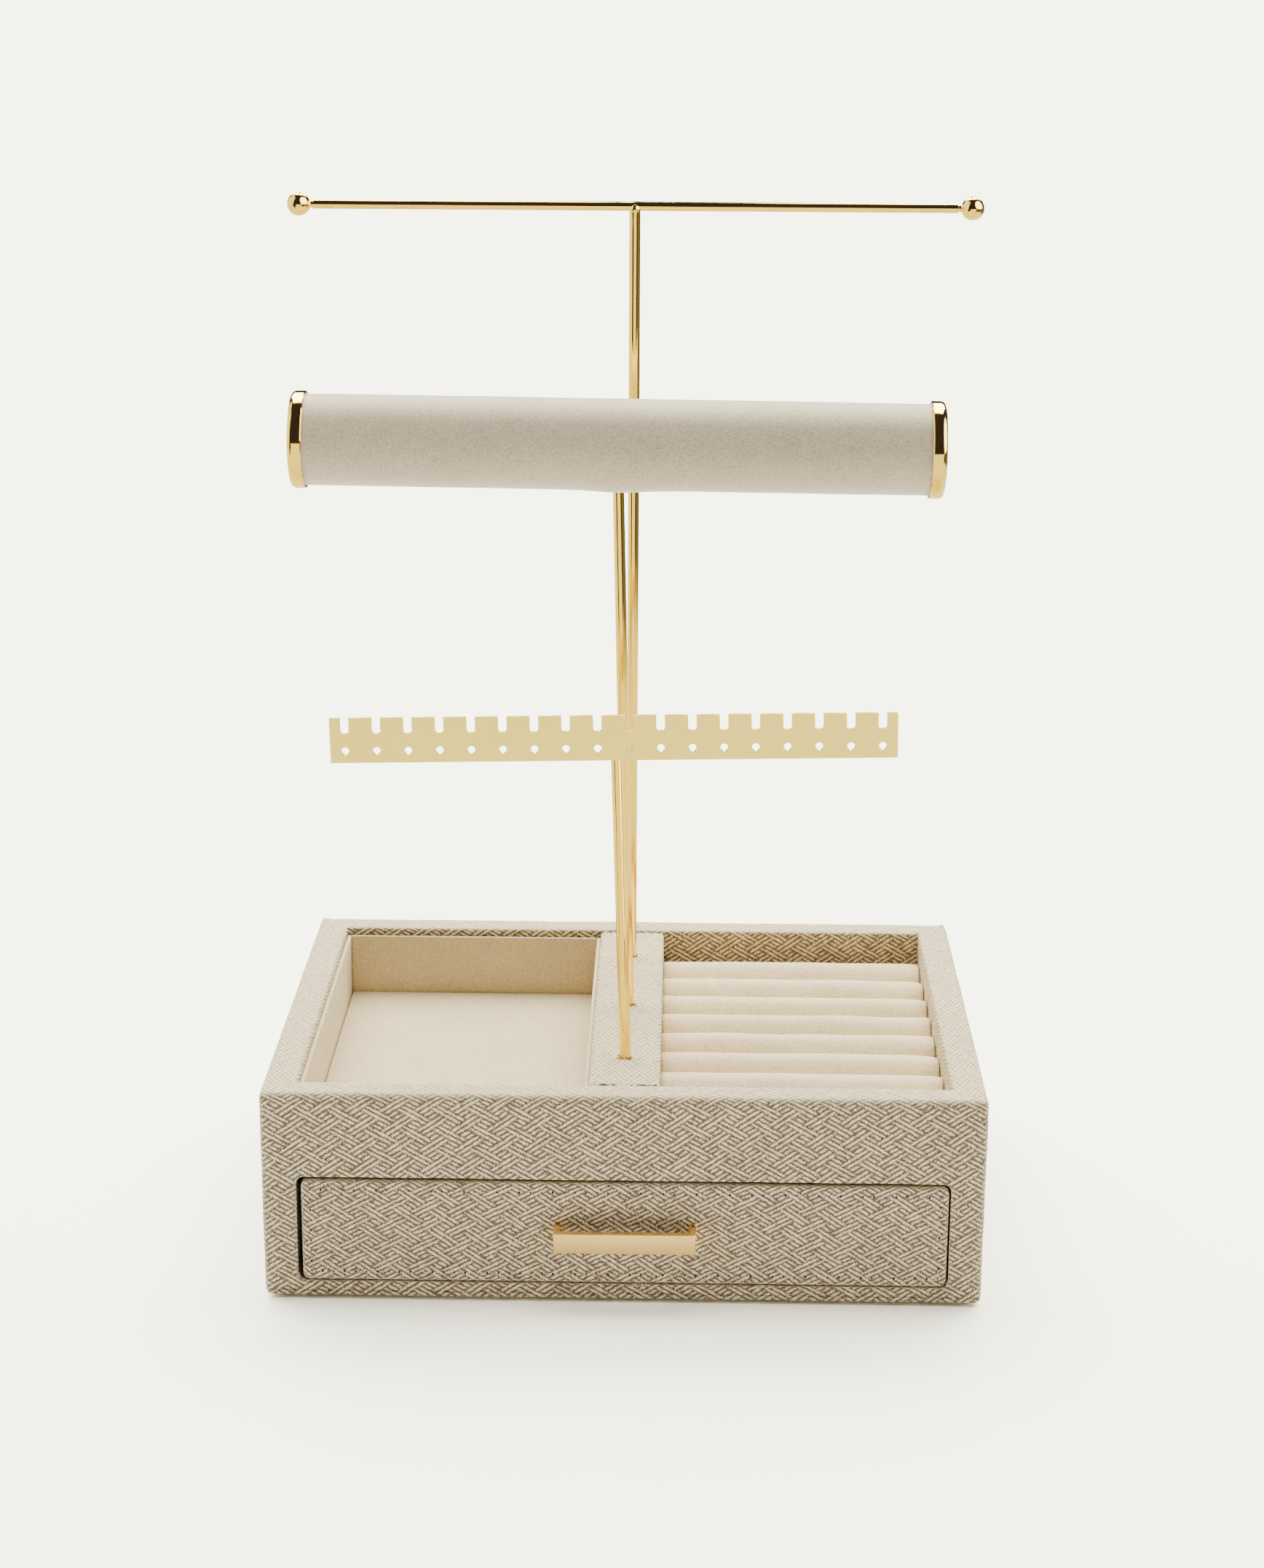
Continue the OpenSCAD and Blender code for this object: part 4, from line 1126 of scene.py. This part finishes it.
POST_R, SUNK = 2.0, 12.0
EARRING_RISE, EARRING_TOP = 109.8, 124.8
BRACELET_RISE, BRACELET_TILT, BRACELET_BAR = 209.0, math.radians(1.8), 228.0
NECKLACE_RISE, NECKLACE_SPAN = 286.0, 242.0
earring_place, bracelet_place, necklace_place = (
    stand_place(body) for body in ("earring_stand", "bracelet_stand", "necklace_stand"))


earring_post = turned_piece(
    [(0, -SUNK), (POST_R, -SUNK), (POST_R, EARRING_RISE - 0.1), (POST_R, EARRING_RISE + 0.1),
     (POST_R, EARRING_TOP - 0.3), (POST_R - 0.3, EARRING_TOP), (0, EARRING_TOP)], 40, Matrix())
for v in earring_post.verts:
    if v.co.z > EARRING_RISE * MM:
        v.co.y = max(v.co.y, -1.58 * MM)
bmesh.ops.transform(earring_post, matrix=earring_place, verts=earring_post.verts)
show("front_post", earring_post, "earring_stand", polished_gold, ["earring_post"], sharp=50)

RIM, RINGS, bracelet_top = 0.25, 12, BRACELET_RISE + 4
even = (bracelet_top + SUNK - 2 * RIM) / RINGS
show("middle_post", turned_piece(
    [(0, -SUNK), (POST_R - RIM, -SUNK), *((POST_R, RIM - SUNK + even * k) for k in range(RINGS + 1)),
     (POST_R - RIM, bracelet_top), (0, bracelet_top)], 40, bracelet_place),
     "bracelet_stand", polished_gold, ["bracelet_post"], sharp=40)

DOME_R, DOME_FORWARD, BEND_START = 2.12, 0.45 * MM, 281
necklace_top = NECKLACE_RISE - 1.1
bend_end = necklace_top - 1.6
necklace_post = turned_piece(
    [(0, -SUNK), (POST_R, -SUNK), *[(POST_R, z) for z in (0, 60, 120, 180, 240, 275, BEND_START)],
     (POST_R, bend_end), (POST_R - 0.05, necklace_top - 1.2),
     *arc((0, necklace_top), DOME_R, -20, 90, 14)], 40, Matrix())
for v in necklace_post.verts:
    v.co.y -= DOME_FORWARD * min(1.0, max(0.0, (v.co.z / MM - BEND_START) / (bend_end - BEND_START)))
bmesh.ops.transform(necklace_post, matrix=necklace_place, verts=necklace_post.verts)
show("back_post", necklace_post, "necklace_stand", polished_gold, ["necklace_post"],
     sharp=50)

# %% [markdown]
# ## The necklace bar and its balls
# The bar is a thin rod with a ball turned on each end, joined by a narrow neck. The post's
# domed end stands a little in front of the bar and above it, and the bar is a trace thicker
# where the two are brazed.

# %% Turn the necklace bar
ROD_R, BALL_R, NECK_R, NECK_H = 1.65, 4.15, 1.25, 1.0
bar_end = NECKLACE_SPAN / 2 - BALL_R - NECK_H
necklace_middle = necklace_place @ Matrix.Translation((0, 0, NECKLACE_RISE * MM))
thicker = [(ROD_R + 0.06 * fading(x, 2.6), x) for x in (-5, -3.5, -2.5, -1.5, 0, 1.5, 2.5, 3.5, 5)]
plain_rings = (6, 10, 30, 60, 90)
show("necklace_rod", turned_piece(
    [(0, -bar_end), (ROD_R - 0.2, -bar_end), (ROD_R, -bar_end + 0.2),
     *[(ROD_R, -x) for x in reversed(plain_rings)], *thicker, *[(ROD_R, x) for x in plain_rings],
     (ROD_R, bar_end - 0.2), (ROD_R - 0.2, bar_end), (0, bar_end)], 32,
    along_x(necklace_middle)), "necklace_stand", polished_gold, ["necklace_bar"], sharp=40)
sunk = math.degrees(math.asin(NECK_R / BALL_R))
for side, facing in (("left", -1), ("right", 1)):
    profile = [(0, -0.6), (NECK_R + 0.15, -0.6), (NECK_R + 0.1, 0), (NECK_R, NECK_H * 0.5),
               *arc((0, NECK_H + BALL_R), BALL_R, -90 + sunk + 2, 90, 24)]
    show(f"{side}_ball", turned_piece(profile, 48, along_x(necklace_middle, bar_end, facing)),
         "necklace_stand", polished_gold, [f"necklace_{side}_ball"], sharp=70)

# %% [markdown]
# ## The bracelet bar
# A card tube in padded velvet, with a pressed metal cap at each end. The velvet is pulled
# tight and glued, so it hardly swells: it is fullest between the caps, a seam runs along its
# back, and it sags a little where the post goes in. Its cloth is too tight to need a
# simulation, so its profile is spun and its points are moved.

# %% Make the padded bar
bracelet_middle = (bracelet_place @ Matrix.Translation((0, 0, BRACELET_RISE * MM))
                   @ Matrix.Rotation(BRACELET_TILT, 4, "Y"))
half = BRACELET_BAR / 2 - 1.4
SLEEVE_R, SEAM_TURN = 16.0, 0.35
sleeve_profile = [(0, -half), (15.2, -half), (15.85, -half + 0.8)]
sleeve_profile += [(SLEEVE_R - 0.12 + 0.12 * math.cos(x / half * 1.3), x) for x in
                   (-half + 3 + (2 * half - 6) * k / 76 for k in range(77))]
sleeve_profile += [(15.85, half - 0.8), (15.2, half), (0, half)]
sleeve_bm = turned_piece(sleeve_profile, 72, Matrix.Rotation(math.pi / 2, 4, "Y"))
for v in sleeve_bm.verts:
    out = Vector((0, v.co.y, v.co.z))
    if out.length < 10 * MM:
        continue
    turn = math.atan2(v.co.z, v.co.y)
    seam = fading((turn - SEAM_TURN) * SLEEVE_R, 0.9)
    post_sag = fading(v.co.x, 11 * MM) * max(0.0, -out.normalized().z) ** 3
    rest = 0.10 * drift_at(v.co, 0.025, 61) - 0.30 * seam + 0.75 * post_sag
    v.co += out.normalized() * rest * MM
bmesh.ops.transform(sleeve_bm, matrix=bracelet_middle, verts=sleeve_bm.verts)
show("velvet_bar", sleeve_bm, "bracelet_stand", bar_velvet, ["bracelet_sleeve"])

CAP_R, CAP_W, CAP_FACE, CAP_EDGE = 17.0, 5.0, 1.2, 1.8
cap_profile = [(16.05, 0.25), (16.25, 0.02), (16.75, 0.02), (CAP_R, 0.3), (CAP_R, 1.6),
               (CAP_R - 0.02, CAP_W - CAP_EDGE),
               *arc((CAP_R - CAP_EDGE, CAP_W - CAP_EDGE), CAP_EDGE - 0.02, 8, 84, 8),
               (12.5, CAP_W + 0.02), (8.0, CAP_W + 0.04), (0, CAP_W + 0.05), (0, CAP_W - CAP_FACE),
               (15.6, CAP_W - CAP_FACE), (16.05, CAP_W - CAP_FACE - 0.4), (16.05, 0.25)]
for side, facing in (("left", -1), ("right", 1)):
    cap_place = along_x(bracelet_middle, BRACELET_BAR / 2 - CAP_W, facing)
    show(f"{side}_cap", turned_piece(cap_profile, 96, cap_place),
         "bracelet_stand", polished_gold, [f"bracelet_{side}_cap"], sharp=40)

# %% [markdown]
# ## The earring bar
# The bar is sheet metal, pierced by a press with a row of open hooks and a row of drops
# below them. The model already has that outline, and cutting it again would only risk a
# different one. So the piece starts from a copy of the model's mesh: its loose triangles are
# joined at their corners, and its edges are broken as a press leaves them. Its two flat sides
# are shaded flat, so that they show no soft tones round the holes.

# %% Break the edges of the earring bar
PRESS_R, PRESS_ANGLE = 0.10 * MM, math.radians(60)
plate_bm = bmesh.new()
plate_bm.from_mesh(frame["nodes"]["earring_bar"].data)
bmesh.ops.remove_doubles(plate_bm, verts=plate_bm.verts, dist=1e-6)
pressed_edges = [e for e in plate_bm.edges if e.calc_face_angle(0) > PRESS_ANGLE]
round_edges(plate_bm, pressed_edges, PRESS_R, 2)
plate_bm.normal_update()
plate_facing = max(plate_bm.faces, key=lambda f: f.calc_area()).normal.copy()
show("earring_plate", plate_bm, "earring_stand", satin_gold, ["earring_bar"],
     sharp=30, flat=plate_facing)

# %% [markdown]
# ## The size of the dress
# The dress may stand proud of the model only by what cloth does, so both boxes are
# printed side by side.

# %% Print the boxes
seen_box = [list(corner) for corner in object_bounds()]
print("box of the model in mm:", *map(in_mm, cad_box))
print("box of the dress in mm:", *map(in_mm, seen_box))
